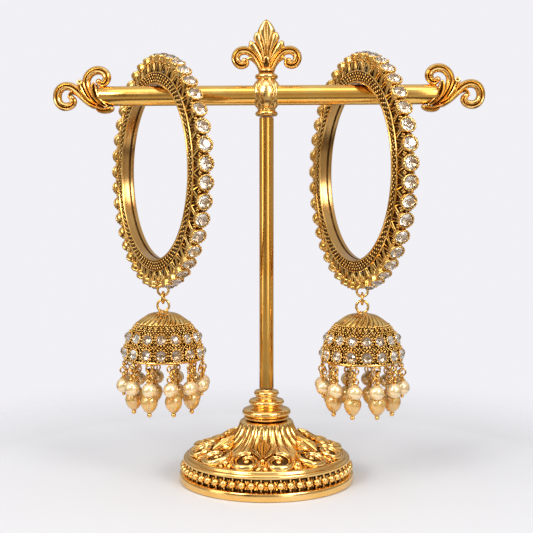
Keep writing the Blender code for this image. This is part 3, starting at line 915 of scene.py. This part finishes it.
motifSizes = {
    "curl": {"across": 5.35, "reach": 4.3, "start": 100.0, "turn": -430.0, "close": 0.72, "steps": 22},
    "curlWide": [0.5, 1.0, 1.2, 1.2, 1.05, 0.85, 0.65, 0.5],
    "curlLift": 0.55,
    "deep": 1.15,
    "ground": 3.9,
    "groundLift": 0.02,
    "groundFlat": (1.0, 1.0, 0.12, 1.0),
    "grainLift": 0.35,
    "leaves": [
        {
            "path": [(0.0, 2.2), (0.0, 4.8), (0.0, 7.6), (0.0, 10.2)],
            "wide": [0.4, 1.05, 1.3, 0.2],
            "lift": 1.0,
        },
        {
            "path": [(0.35, 2.6), (1.5, 4.9), (2.5, 7.0), (2.9, 8.6)],
            "wide": [0.35, 0.85, 1.1, 0.35],
            "lift": 0.75,
            "both": True,
        },
        {
            "path": [(0.5, 2.2), (2.0, 3.8), (3.6, 5.2), (4.5, 6.4)],
            "wide": [0.35, 0.8, 1.0, 0.35],
            "lift": 0.6,
            "both": True,
        },
        {
            "path": [(0.1, -2.2), (0.7, -3.2), (1.7, -4.0)],
            "wide": [0.3, 0.5, 0.25],
            "lift": 0.3,
            "both": True,
        },
        {
            "path": [(10.6, 0.9), (9.9, -0.8), (10.1, -2.4), (10.9, -3.6)],
            "wide": [0.3, 0.7, 0.7, 0.3],
            "lift": 0.3,
            "both": True,
        },
        {
            "path": [(0.0, -1.6), (0.0, -3.0), (0.0, -4.3)],
            "wide": [0.3, 0.6, 0.2],
            "lift": 0.4,
        },
    ],
    "grains": [(5.35, 0.1, 0.95), (-5.35, 0.1, 0.95), (0.0, 1.0, 0.9), (11.4, -1.6, 1.2), (11.4, -3.6, 0.7)],
}


def motifParts(angle):
    size = motifSizes
    parts = []
    # the leaves' groove faces get painted shade
    dark = groovesOf(leafFront, (6, 7))
    curl = size["curl"]
    for sign in (-1.0, 1.0):
        path = []
        for step in range(curl["steps"]):
            share = step / (curl["steps"] - 1)
            turn = math.radians(curl["start"] + curl["turn"] * share)
            reach = curl["reach"] * (1.0 - curl["close"] * share ** 2.2)
            path.append((sign * (curl["across"] + reach * math.cos(turn)), reach * math.sin(turn)))
        section = ridgeSection if sign > 0.0 else flipped(ridgeSection)
        lift, deep = size["curlLift"], size["deep"]
        blade = sweptOnBase(angle, path, size["curlWide"], section, lift, deep, ridgeGrooves, 2)
        parts.append((blade, here, None))
        # the flat relief ground under each curl takes the dark finish: painted shade
        spot, normal = onBase(angle, sign * curl["across"], 0.0, size["groundLift"])
        lie = laidAlong(normal) @ Matrix.Diagonal(size["groundFlat"])
        parts.append((ballMesh(size["ground"], 3), moved(spot) @ lie, 1))
        for item in size["leaves"]:
            if item.get("both") or sign > 0.0:
                places = [(sign * across, inward) for across, inward in item["path"]]
                blade = sweptOnBase(angle, places, item["wide"], leafSection, item["lift"], deep, dark)
                parts.append((blade, here, None))
    for across, inward, grain in size["grains"]:
        spot, normal = onBase(angle, across, inward, size["grainLift"])
        parts.append((ballMesh(grain, 2), moved(spot), 0))
    return parts


base = turnedMesh(baseOutline, baseSizes["steps"], ripple=baseRipple, tintOf=baseTint)
baseParts = [(base, Matrix.Rotation(-math.pi / 2.0, 4, "Z"), None)]
bead = ballMesh(baseSizes["beadRadius"], 2)
peg = turnedMesh([(0.0, -2.0), (0.34, -2.0), (0.34, 2.0), (0.0, 2.0)], 6)
beadLevel = up * baseSizes["beadLevel"]
pegAcross, pegUp = baseSizes["pegLean"]
pegReach = baseSizes["beadRing"] - baseSizes["pegDepth"]
for index in range(baseSizes["beads"]):
    angle = turnOf(index, baseSizes["beads"])
    baseParts.append((bead, moved(outAt(angle) * baseSizes["beadRing"] + beadLevel), 0))
    baseParts.append((peg, moved(outAt(angle) * pegReach + beadLevel), 0))
    middle = angle + math.pi / baseSizes["beads"]
    side = Vector((math.cos(middle), math.sin(middle), 0.0))
    for sign in (-1.0, 1.0):
        # two leaning pegs cross between the beads
        tilt = laidAlong((side * sign * pegAcross + up * pegUp).normalized())
        spot = moved(outAt(middle) * baseSizes["pegRing"] + beadLevel)
        baseParts.append((peg, spot @ tilt @ Matrix.Scale(baseSizes["pegScale"], 4), 0))
for index in range(baseSizes["motifs"]):
    baseParts += motifParts(turnOf(index, baseSizes["motifs"]))
makeStandPiece("reliefBase", baseParts, "stand_base")

print("Making the bangles")
bangleSizes = {
    "centre": {"left": (-36.9987, 31.5), "right": (31.2018, 22.5)},   # place on the bar, turn in degrees
    "level": 105.5136,
    "hang": 5.0,                 # degrees from straight down to the hanging loop
    "places": 41,
    "granules": 100,
    "granuleRadius": 0.44,
    "granuleRows": (30.90, 31.85, 32.80),
    "granuleLevel": 2.16,
    "cupFoot": 34.75,
    "gallery": 35.0,
    "loopReach": 40.2,
    "stemReach": 35.2,
    "grainSide": 1.35,
    # the grains between two cups: across, reach and scale
    "grains": [(-0.46, 37.25, 0.95), (0.46, 37.25, 0.95), (0.0, 38.0, 1.1), (0.0, 36.5, 0.8)],
}
bandSide = [
    (29.7, -2.15), (29.75, -2.35), (29.95, -2.47), (30.2, -2.4), (30.35, -2.2), (30.4, -2.0), (33.35, -2.0),
    (33.4, -2.2), (33.6, -2.38), (33.82, -2.3), (33.9, -2.1),
]
bandOutline = bandSide + [(33.9, 0.0)] + [(radius, -level) for radius, level in reversed(bandSide)]
bandOutline += [(29.75, 1.15), (30.0, 1.05), (30.0, 0.45), (29.75, 0.35), (29.78, -0.8), (29.75, -1.6)]


def bandTint(angle, radius, level):
    # inner wall: the darker shaded gold; inner ridge and the faces under the granules: painted shade
    if radius < 29.86 and abs(level) < 2.2:
        return 2
    if radius < 30.1 and abs(level) < 1.5:
        return 1
    return 1 if 30.3 < radius < 33.5 and abs(level) < 2.05 else 0


def brilliantMesh(girdle, table, crown, depth):
    # a round cut stone: table, star, kite and girdle facets above, sixteen facets below
    points = ringPoints(table, 8, crown)
    points += ringPoints(0.5 * (table + girdle) * 1.01, 8, 0.56 * crown, 0.5)
    points += ringPoints(girdle, 16, 0.0) + ringPoints(girdle, 16, -0.06 * girdle)
    points.append((0.0, 0.0, -depth))
    faces = [tuple(range(8))]
    for index in range(8):
        star, kite = 8 + index, 16 + 2 * index
        faces.append((index, (index + 1) % 8, star))
        faces.append((index, star, kite, 8 + (index - 1) % 8))
        faces.append((star, kite, kite + 1))
        faces.append((star, kite + 1, 16 + (2 * index + 2) % 16))
    for index in range(16):
        ahead = (index + 1) % 16
        faces.append((16 + index, 16 + ahead, 32 + ahead, 32 + index))
        faces.append((32 + index, 32 + ahead, 48))
    return plainMesh(points, faces)


cupSizes = {
    "fit": (0.98, 0.98, 1.04, 1.0),
    "scallops": 16,
    "clawRing": 2.52,
    "clawLevel": 4.42,
    "clawRadius": 0.27,
    "girdle": 4.2,
    "turn": 0.37,
    "smoothTo": (2.2, 3.0),
    "lip": 4.1,
    "lobeDepth": 0.12,
    "lipDrop": 0.18,
}


def cupRipple(angle, radius, level):
    # scalloped wall and lip, above the plain foot
    size = cupSizes
    smoothRadius, smoothLevel = size["smoothTo"]
    if radius < smoothRadius or level < smoothLevel:
        return radius, level
    dip = 1.0 - abs(math.sin(0.5 * size["scallops"] * angle)) ** 0.7
    drop = size["lipDrop"] * dip if level > size["lip"] else 0.0
    return radius - size["lobeDepth"] * dip, level - drop


cupOutline = [
    (0.0, 0.0), (0.75, 0.0), (0.75, 1.5), (1.2, 1.85), (1.9, 2.05), (2.3, 2.25), (2.5, 2.55), (2.58, 3.0),
    (2.6, 3.7), (2.78, 3.85), (2.8, 4.2), (2.74, 4.42), (2.55, 4.52), (2.32, 4.48), (2.2, 4.3), (2.16, 4.1),
    (1.75, 3.5), (0.9, 2.8), (0.0, 2.5),
]


def cupTint(angle, radius, level):
    # the inside of the cup is foil
    return 1 if level > 2.4 and level > 2.2 + 0.62 * radius and radius < 2.17 else 0


def stonePlace(angle, radius):
    # the frame at one place of the bangle: Z outward, the bangle's axis as Y
    outward = Vector((math.cos(angle), math.sin(angle), 0.0))
    turn = Matrix((up.cross(outward), up, outward)).transposed().to_4x4()
    return moved(outward * radius) @ turn


def galleryWires():
    # the open wirework of one place, in the place's frame: V wires on both faces and a small arch
    wires = []
    halfPitch = math.pi * bangleSizes["gallery"] / bangleSizes["places"]
    outer = [(halfPitch * 0.98, 1.0, -1.0), (1.9, 0.95, 0.7), (1.35, 0.8, 2.4), (1.9, 0.72, 3.2)]
    inner = [(1.25, 1.0, -0.95), (0.95, 0.9, 0.7), (0.0, 0.78, 2.3)]
    for sign in (-1.0, 1.0):
        for side in (-1.0, 1.0):
            for legs, thick in ((outer, 0.25), (inner, 0.17)):
                line = [(side * across, share * 2.0 * sign, level) for across, share, level in legs]
                wires.append(wireMesh(smoothLine(line, 4), thick, 6, Vector((0.0, sign, 0.0))))
    return wires


band = turnedMesh(bandOutline, 200, closed=True, tintOf=bandTint)
granule = ballMesh(bangleSizes["granuleRadius"], 1)
cup = turnedMesh(cupOutline, 56, ripple=cupRipple, tintOf=cupTint)
stone = brilliantMesh(2.14, 1.2, 0.98, 1.4)
claw = ballMesh(cupSizes["clawRadius"], 1)
wires = galleryWires()
hoopOutline = [
    (34.3, -1.5), (34.3, 1.5), (34.55, 1.75), (35.0, 1.6), (35.15, 1.2), (35.15, -1.2), (35.0, -1.6),
    (34.55, -1.75),
]
hoop = turnedMesh(hoopOutline, 164, closed=True)


def bangleFrame(side):
    place, turn = bangleSizes["centre"][side]
    return at(place, 0.0, bangleSizes["level"]) @ Matrix.Rotation(math.radians(turn), 4, "Z") @ sideways


def makeBangle(side):
    size = bangleSizes
    lie = bangleFrame(side)
    bandParts = [(band, lie, None)]
    for row, radius in enumerate(size["granuleRows"]):
        for spot in ringPoints(radius, size["granules"], 0.0, 0.5 * (row % 2)):
            for sign in (-1.0, 1.0):
                bandParts.append((granule, lie @ at(spot[0], spot[1], sign * size["granuleLevel"]), 0))
    makePiece(
        side + "GranulatedBand", bandParts, [antiqueGold, shadeAndPatinaGold, shadedWallGold],
        "stand", [side + "_bangle_band"], sharp=50.0,
    )
    # the hoop under the cups takes the near-black finish: painted shade behind the wirework
    rowParts = [(hoop, lie, 2)]
    stoneParts = []
    pitch = 2.0 * math.pi / size["places"]
    hang = -math.radians(size["hang"])
    for place in range(size["places"]):
        spot = lie @ stonePlace(hang + pitch * place, size["cupFoot"])
        rowParts += [(wire, spot, 0) for wire in wires]
        spot = spot @ Matrix.Diagonal(cupSizes["fit"])
        if place:
            # the first place is left to the hanging loop
            rowParts.append((cup, spot, None))
            for seat in ringPoints(cupSizes["clawRing"], cupSizes["scallops"], cupSizes["clawLevel"], 0.5):
                rowParts.append((claw, spot @ moved(seat), 0))
            turned = Matrix.Rotation(cupSizes["turn"] * place, 4, "Z")
            stoneParts.append((stone, spot @ at(0.0, 0.0, cupSizes["girdle"]) @ turned, 0))
        between = lie @ stonePlace(hang + pitch * (place + 0.5), 0.0)
        for sign in (-1.0, 1.0):
            for across, radius, scale in size["grains"]:
                seat = at(across, sign * size["grainSide"], radius)
                rowParts.append((granule, between @ seat @ Matrix.Scale(scale, 4), 0))
    makePiece(
        side + "StoneCups", rowParts, [antiqueGold, foil, shadeAndPatinaGold],
        "stand", [side + "_bangle_stones"], sharp=45.0,
    )
    makePiece(side + "CutStones", stoneParts, [crystal], "stand", sharp=5.0)


for side in ("left", "right"):
    makeBangle(side)

print("Linking the loops")
linkSizes = {"loop": 1.85, "link": 1.85, "wire": 0.42}
stemOutline = [
    (0.0, 0.0), (1.5, 0.0), (1.55, 0.4), (1.0, 0.8), (0.7, 1.3), (0.75, 1.7), (1.05, 2.1), (1.0, 2.5),
    (0.6, 2.9), (0.0, 3.1),
]
for side in ("left", "right"):
    lie = bangleFrame(side)
    hang = -math.radians(bangleSizes["hang"])
    outward = Vector((math.cos(hang), math.sin(hang), 0.0))
    loop = ringMesh(linkSizes["loop"], linkSizes["wire"], front, 40, 12)
    stemTurn = laidAlong((lie.to_3x3() @ outward).normalized())
    parts = [
        (loop, moved(lie @ (outward * bangleSizes["loopReach"])), 0),
        (turnedMesh(stemOutline, 28), moved(lie @ (outward * bangleSizes["stemReach"])) @ stemTurn, 0),
    ]
    makePiece(side + "HangingLoop", parts, [antiqueGold], "stand", [side + "_bangle_loop"])
    node = side + "_jump_ring"
    link = ringMesh(linkSizes["link"], linkSizes["wire"], right, 40, 12)
    parts = [(link, moved(centreOf(node)), 0)]
    makePiece(side + "LinkRing", parts, [antiqueGold], side + "_link", [node])

print("Beating the bells")
bellSizes = {
    "height": 16.3,
    "radius": 13.9,
    "top": -3.03,
    "loopTop": 1.56,
    "ribs": 26,
    "ribDepth": 0.55,
    "ribSwell": 0.25,
    "ribFull": 8.0,
    "ribStart": 1.5,
    "wallDepth": 0.30,
    "capEnd": 0.245,
    "swirl": 0.35,
    "steps": 208,
    "stones": 16,
    "stonePhase": 5.5,
    "prongs": 12,
    "prongRing": 1.42,
    "prongRadius": 0.29,
    "stoneRows": [(0.512, 1.42), (0.822, 1.50)],   # share of the height, scale
    "betweenStones": [                             # lift, drop, radius
        (0.1, 0.0, 0.42), (0.05, 0.048, 0.33), (0.05, -0.048, 0.33), (0.0, 0.088, 0.26), (0.0, -0.088, 0.26),
    ],
    "setting": [
        (0.0, -0.3), (1.36, -0.3), (1.42, 0.15), (1.33, 0.3), (1.25, 0.14), (0.5, -0.12), (0.0, -0.18),
    ],
    "rosettes": 32,
    "rosetteShare": 0.305,
    "petals": 5,
    "petalRing": 0.52,
    "loopRadius": 2.0,
    "loopLevel": 1.14 - 2.0,
    "loopWire": 0.42,
    "grainRows": [                                 # share of the height, count, radius, shift
        (0.235, 60, 0.42, 0.0), (0.268, 60, 0.36, 0.5), (0.345, 64, 0.38, 0.0), (0.378, 64, 0.32, 0.5),
        (0.635, 72, 0.35, 0.0), (0.667, 72, 0.42, 0.5), (0.70, 72, 0.35, 0.0), (0.955, 76, 0.40, 0.0),
        (0.985, 76, 0.34, 0.5),
    ],
}
bellShares = [
    (0.0, 0.0), (0.15, 0.005), (0.34, 0.04), (0.5, 0.125), (0.635, 0.22), (0.777, 0.385), (0.863, 0.555),
    (0.925, 0.735), (0.945, 0.865), (0.945, 0.95),
]


def bellLevel(share):
    return bellSizes["top"] - share * bellSizes["height"]


bellPoints = [(across * bellSizes["radius"], bellLevel(share)) for across, share in bellShares]
bellLine = [(max(0.0, point.x), point.y) for point in smoothLine(bellPoints, 5)]
bellLine[0] = (0.0, bellSizes["top"])
bellRim = bellLevel(1.0)


def bellShare(level):
    return (bellSizes["top"] - level) / bellSizes["height"]


def capShare(level):
    return bellShare(level) / bellSizes["capEnd"]


def ribPlace(angle, level):
    return abs(math.cos(0.5 * bellSizes["ribs"] * (angle + bellSizes["swirl"] * capShare(level))))


def bellRipple(angle, radius, level):
    # the fluted cap, and the wall below it a little further in
    size = bellSizes
    share = capShare(level)
    rib = ribPlace(angle, level)
    if radius < size["ribStart"]:
        return radius, level
    if share < 1.0:
        depth = size["ribDepth"] * min(1.0, radius / size["ribFull"])
        return radius - depth * (1.0 - rib ** 0.55) + size["ribSwell"] * share * rib, level
    return radius - size["wallDepth"], level


def bellTint(angle, radius, level):
    # painted shade on the ground behind the grains and in the grooves of the cap; the rim is left unshaded
    share = capShare(level)
    if level < bellRim + 0.75 and radius > 12.9:
        return 0
    if share > 1.0:
        return 1
    return 1 if ribPlace(angle, level) < 0.30 and radius > 2.0 else 0


def bellPlace(angle, share, lift=0.0):
    # the frame on the bell's outside at a share of its height: Z outward along the surface's normal
    shares = [bellShare(level) for radius, level in bellLine]
    radii = [radius for radius, level in bellLine]
    above, radius, below = [readLine(share + step, shares, radii) for step in (-0.02, 0.0, 0.02)]
    out = outAt(angle)
    normal = (out * bellSizes["height"] + up * ((below - above) / 0.04)).normalized()
    spot = out * radius + up * bellLevel(share) + normal * lift
    side = up.cross(normal).normalized()
    return moved(spot) @ Matrix((side, normal.cross(side), normal)).transposed().to_4x4()


def settingTint(angle, radius, level):
    return 2 if radius < 1.26 and level > -0.2 else 0


def bellParts():
    size = bellSizes
    outline = bellLine + [
        (13.3, bellRim + 0.8), (13.75, bellRim + 0.7), (13.9, bellRim + 0.4), (13.75, bellRim + 0.1),
        (13.4, bellRim), (10.2, bellRim), (10.0, bellRim + 0.2), (10.0, bellRim + 0.8),
    ]
    inside = [(radius - 0.9, level - 0.5) for radius, level in bellLine[8::3] if level - 0.5 > bellRim + 0.9]
    outline += [(max(radius, 0.0), level) for radius, level in reversed(inside)] + [(0.0, size["top"] - 0.9)]
    parts = [(turnedMesh(outline, size["steps"], ripple=bellRipple, tintOf=bellTint), here, None)]
    loop = ringMesh(size["loopRadius"], size["loopWire"], front, 40, 12)
    parts.append((loop, at(0.0, 0.0, size["loopLevel"]), 0))
    foot = turnedMesh([(0.0, 0.3), (1.4, 0.25), (1.75, 0.1), (1.9, -0.2), (1.7, -0.45), (0.0, -0.5)], 40)
    parts.append((foot, at(0.0, 0.0, size["top"] + 0.15), 0))
    bead = ballMesh(1.0, 1)
    setting = turnedMesh(size["setting"], 24, tintOf=settingTint)
    gem = brilliantMesh(1.24, 0.42, 0.78, 0.30)
    gems = []

    def addBeads(place, spots, grain):
        for spot in spots:
            parts.append((bead, place @ moved(spot) @ Matrix.Scale(grain, 4), 0))

    phase = math.radians(size["stonePhase"])
    pitch = 2.0 * math.pi / size["stones"]
    for share, scale in size["stoneRows"]:
        for index in range(size["stones"]):
            place = bellPlace(phase + pitch * index, share, 0.12) @ Matrix.Scale(scale, 4)
            parts.append((setting, place, None))
            gems.append((gem, place @ at(0.0, 0.0, 0.16) @ Matrix.Rotation(0.5 * index, 4, "Z"), 0))
            addBeads(place, ringPoints(size["prongRing"], size["prongs"], 0.12), size["prongRadius"])
            middle = phase + pitch * (index + 0.5)
            for lift, drop, grain in size["betweenStones"]:
                addBeads(bellPlace(middle, share + drop, lift), [(0.0, 0.0, 0.0)], grain)
    for share, count, grain, shift in size["grainRows"]:
        for index in range(count):
            addBeads(bellPlace(turnOf(index + shift, count), share, 0.02), [(0.0, 0.0, 0.0)], grain)
    for index in range(size["rosettes"]):
        place = bellPlace(turnOf(index + 0.5, size["rosettes"]), size["rosetteShare"], 0.15)
        addBeads(place, [(0.0, 0.0, 0.0)], 0.40)
        addBeads(place, ringPoints(size["petalRing"], size["petals"], -0.05), 0.24)
    return parts, gems


def makeBell(side, parts, gems):
    node = side + "_jhumka_bell"
    low, high = boxOf(node)
    lift = at((low.x + high.x) / 2.0, (low.y + high.y) / 2.0, high.z - bellSizes["loopTop"])
    body = side + "_jhumka"
    shapes = [(mesh, lift @ matrix, finish) for mesh, matrix, finish in parts]
    finishes = [antiqueGold, shadeAndPatinaGold, foil]
    makePiece(side + "BeatenBell", shapes, finishes, body, [node], sharp=50.0)
    stones = [(mesh, lift @ matrix, finish) for mesh, matrix, finish in gems]
    makePiece(side + "BellStones", stones, [crystal], body, sharp=5.0)


bellShapes = bellParts()
for side in ("left", "right"):
    makeBell(side, *bellShapes)

print("Threading the drops")
dropSizes = {
    "pearl": {"count": 12, "radius": 2.5, "half": 2.5, "drop": 8.4, "ball": 0.62, "rings": 3, "lean": 0.0},
    "oval": {"count": 8, "radius": 2.85, "half": 3.35, "drop": 13.5, "ball": 0.82, "rings": 6, "lean": 0.18},
    "ringWire": 0.27,
    "gap": 0.3,
    "eye": (0.48, 0.2),
    "eyeRise": 0.45,
    "chainRoom": 0.75,
    "ballSink": 0.65,
}


def beadMesh(radius, half, lean, steps=40, rows=22):
    outline = []
    for row in range(rows + 1):
        angle = math.pi * row / rows
        level = math.cos(angle)
        wide = math.sin(angle) * (1.0 + lean * level)
        outline.append((0.0 if row in (0, rows) else radius * wide, half * level))
    return turnedMesh(outline, steps)


def chainedDrop(kind):
    # a chain of rings from the rim, a bead on its pin, and the ball under it, hanging from the origin
    size = dropSizes[kind]
    top = size["drop"] - dropSizes["gap"] - size["half"]
    room = top - dropSizes["chainRoom"]
    wire = dropSizes["ringWire"]
    step = (room + 2.0 * wire) / size["rings"]
    radius = 0.5 * (step + 2.0 * wire)
    parts = []
    for index in range(size["rings"]):
        axis = right if index % 2 else front
        level = -radius + wire * 0.4 - step * index
        parts.append((ringMesh(radius, wire, axis, 22, 8), at(0.0, 0.0, level), 1))
    eye = ringMesh(*dropSizes["eye"], right if size["rings"] % 2 else front, 16, 6)
    parts.append((eye, at(0.0, 0.0, -top + dropSizes["eyeRise"]), 1))
    parts.append((beadMesh(size["radius"], size["half"], size["lean"]), at(0.0, 0.0, -top - size["half"]), 0))
    bottom = -top - 2.0 * size["half"]
    cap = turnedMesh([(0.0, 0.25), (0.5, 0.22), (0.78, 0.05), (0.8, -0.1), (0.3, -0.12), (0.0, -0.12)], 18)
    parts.append((cap, at(0.0, 0.0, -top - 0.05), 1))
    parts.append((ballMesh(size["ball"], 2), at(0.0, 0.0, bottom - dropSizes["ballSink"] * size["ball"]), 1))
    return parts


def makeDrop(side, kind, index, shapes, finish):
    node = f"{side}_{kind}_drop_{index}"
    low, high = boxOf(node)
    spot = Vector(((low.x + high.x) / 2.0, (low.y + high.y) / 2.0, high.z))
    axis = centreOf(side + "_jhumka_bell")
    away = math.atan2(spot.x - axis.x, -(spot.y - axis.y))
    place = moved(spot) @ Matrix.Rotation(away, 4, "Z")
    parts = [(mesh, place @ matrix, tint) for mesh, matrix, tint in shapes]
    name = f"{side}{kind.capitalize()}Drop{index}"
    makePiece(name, parts, [finish, antiqueGold], side + "_jhumka", [node], sharp=50.0)


for kind, finish, slotName in (("pearl", pearl, "pearl"), ("oval", resin, "resin")):
    shapes = chainedDrop(kind)
    for side in ("left", "right"):
        for index in range(1, dropSizes[kind]["count"] + 1):
            makeDrop(side, kind, index, shapes, finish)

print("Laying the floor and the light")
stageSizes = {
    "floorRadius": 2.6,
    "floorColour": (0.745, 0.755, 0.79),
    "backdrop": (0.885, 0.875, 0.915),
    "flagRadii": (112.0, 205.0),
    "flagColour": (0.05, 0.03, 0.015),
    "cardEnds": ((-300.0, -600.0), (-150.0, -660.0)),
    "cardHigh": 420.0,
    "fadeStart": 0.055,
    "fadeEnd": 0.22,
}


def makeFloor():
    size = stageSizes
    shape = bmesh.new()
    bmesh.ops.create_circle(shape, cap_ends=True, segments=96, radius=size["floorRadius"])
    mesh = written(shape, bpy.data.meshes.new("floor"))
    floor = addObject("floor", mesh)
    constants = {"Roughness": 0.7, "Base Color": (*size["floorColour"], 1.0)}
    finish, tree, shader = newFinish("paleFloor", constants)
    coordinates = tree.nodes.new("ShaderNodeTexCoord")
    length = tree.nodes.new("ShaderNodeVectorMath")
    length.operation = "LENGTH"
    tree.links.new(coordinates.outputs["Object"], length.inputs[0])
    fade = rangeNode(tree, length.outputs["Value"], (size["fadeStart"], size["fadeEnd"]), (0.0, 1.0))
    fade.interpolation_type = "SMOOTHSTEP"
    clear = tree.nodes.new("ShaderNodeBsdfTransparent")
    mix = tree.nodes.new("ShaderNodeMixShader")
    tree.links.new(fade.outputs["Result"], mix.inputs["Fac"])
    tree.links.new(shader.outputs["BSDF"], mix.inputs[1])
    tree.links.new(clear.outputs["BSDF"], mix.inputs[2])
    tree.links.new(mix.outputs["Shader"], tree.nodes["Material Output"].inputs["Surface"])
    mesh.materials.append(finish)
    floor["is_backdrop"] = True


def makeWorld():
    # pale backdrop for the camera; for everything else a studio, dimmer at eye height
    world = bpy.data.worlds.new("studio")
    world.use_nodes = True
    bpy.context.scene.world = world
    tree = world.node_tree
    around = tree.nodes["Background"]
    around.inputs["Strength"].default_value = 1.0
    coordinates = tree.nodes.new("ShaderNodeTexCoord")
    parts = tree.nodes.new("ShaderNodeSeparateXYZ")
    tree.links.new(coordinates.outputs["Generated"], parts.inputs["Vector"])
    height = rangeNode(tree, parts.outputs["Z"], (-1.0, 1.0), (0.0, 1.0))
    sky = rampNode(tree, height.outputs["Result"], [
        (0.0, (0.60, 0.59, 0.60)),
        (0.44, (0.42, 0.37, 0.31)),
        (0.50, (0.36, 0.30, 0.23)),
        (0.57, (0.34, 0.29, 0.23)),
        (0.68, (0.50, 0.48, 0.46)),
        (1.0, (0.72, 0.72, 0.73)),
    ])
    tree.links.new(sky.outputs["Color"], around.inputs["Color"])
    plain = tree.nodes.new("ShaderNodeBackground")
    plain.inputs["Color"].default_value = (*stageSizes["backdrop"], 1.0)
    rays = tree.nodes.new("ShaderNodeLightPath")
    mix = tree.nodes.new("ShaderNodeMixShader")
    tree.links.new(rays.outputs["Is Camera Ray"], mix.inputs["Fac"])
    tree.links.new(around.outputs["Background"], mix.inputs[1])
    tree.links.new(plain.outputs["Background"], mix.inputs[2])
    tree.links.new(mix.outputs["Shader"], tree.nodes["World Output"].inputs["Surface"])


def makeLight(name, lamp):
    data = bpy.data.lights.new(name, "AREA")
    data.shape = "RECTANGLE"
    data.size, data.size_y = lamp["size"]
    data.energy = lamp["power"]
    data.color = lamp.get("colour", lampSizes["warm"])
    light = addObject(name, data)
    light.location = lamp["place"]
    beam = Vector(lampSizes["aim"]) - Vector(lamp["place"])
    light.rotation_euler = beam.to_track_quat("-Z", "Y").to_euler()


def makeFlag(name, mesh):
    # dim card that only glossy reflections see
    mesh.transform(Matrix.Scale(mm, 4))
    flag = addObject(name, mesh)
    paper = {"Roughness": 0.9, "Base Color": (*stageSizes["flagColour"], 1.0)}
    mesh.materials.append(newFinish(name + "Paper", paper)[0])
    flag.visible_camera = False
    flag.visible_diffuse = False
    flag.visible_shadow = False
    flag.visible_transmission = False
    flag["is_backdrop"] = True


makeFloor()
makeFlag("floorFlag", turnedMesh([(radius, 1.0) for radius in stageSizes["flagRadii"]], 64))
first, second = stageSizes["cardEnds"]
cardHigh = stageSizes["cardHigh"]
corners = [(*first, 0.0), (*second, 0.0), (*second, cardHigh), (*first, cardHigh)]
makeFlag("darkCard", plainMesh(corners, [(0, 1, 2, 3)]))
makeWorld()

lampSizes = {"aim": (0.0, 0.0, 0.08), "warm": (1.0, 0.98, 0.95)}
lamps = {
    "leftSoftbox": {"place": (-0.72, -0.38, 0.36), "size": (0.30, 0.80), "power": 1.3},
    "rightSoftbox": {"place": (0.40, -0.70, 0.34), "size": (0.22, 0.80), "power": 1.0},
    "topSoftbox": {"place": (0.0, -0.40, 0.86), "size": (0.8, 0.36), "power": 1.5, "colour": (1.0, 1.0, 1.0)},
    "leftLamp": {"place": (-0.42, -0.62, 0.50), "size": (0.30, 0.30), "power": 3.0},
    "rightLamp": {"place": (0.52, -0.52, 0.46), "size": (0.30, 0.30), "power": 2.4},
}
for name, lamp in lamps.items():
    makeLight(name, lamp)

cameraSizes = {
    "focal": 1050.0,
    "picture": 533.0,
    "sensor": 36.0,
    "away": 0.358,
    "height": 0.0961,
    "turn": 3.5,
    "down": 3.62,
}


def makeCamera():
    size = cameraSizes
    data = bpy.data.cameras.new("camera")
    data.sensor_width = size["sensor"]
    data.lens = size["focal"] / size["picture"] * size["sensor"]
    data.clip_start = 0.01
    camera = addObject("camera", data)
    turn = math.radians(size["turn"])
    camera.location = (size["away"] * math.sin(turn), -size["away"] * math.cos(turn), size["height"])
    camera.rotation_euler = (math.radians(90.0 - size["down"]), 0.0, turn)
    bpy.context.scene.camera = camera


makeCamera()
bpy.context.scene.view_settings.view_transform = "Standard"

low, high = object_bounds()
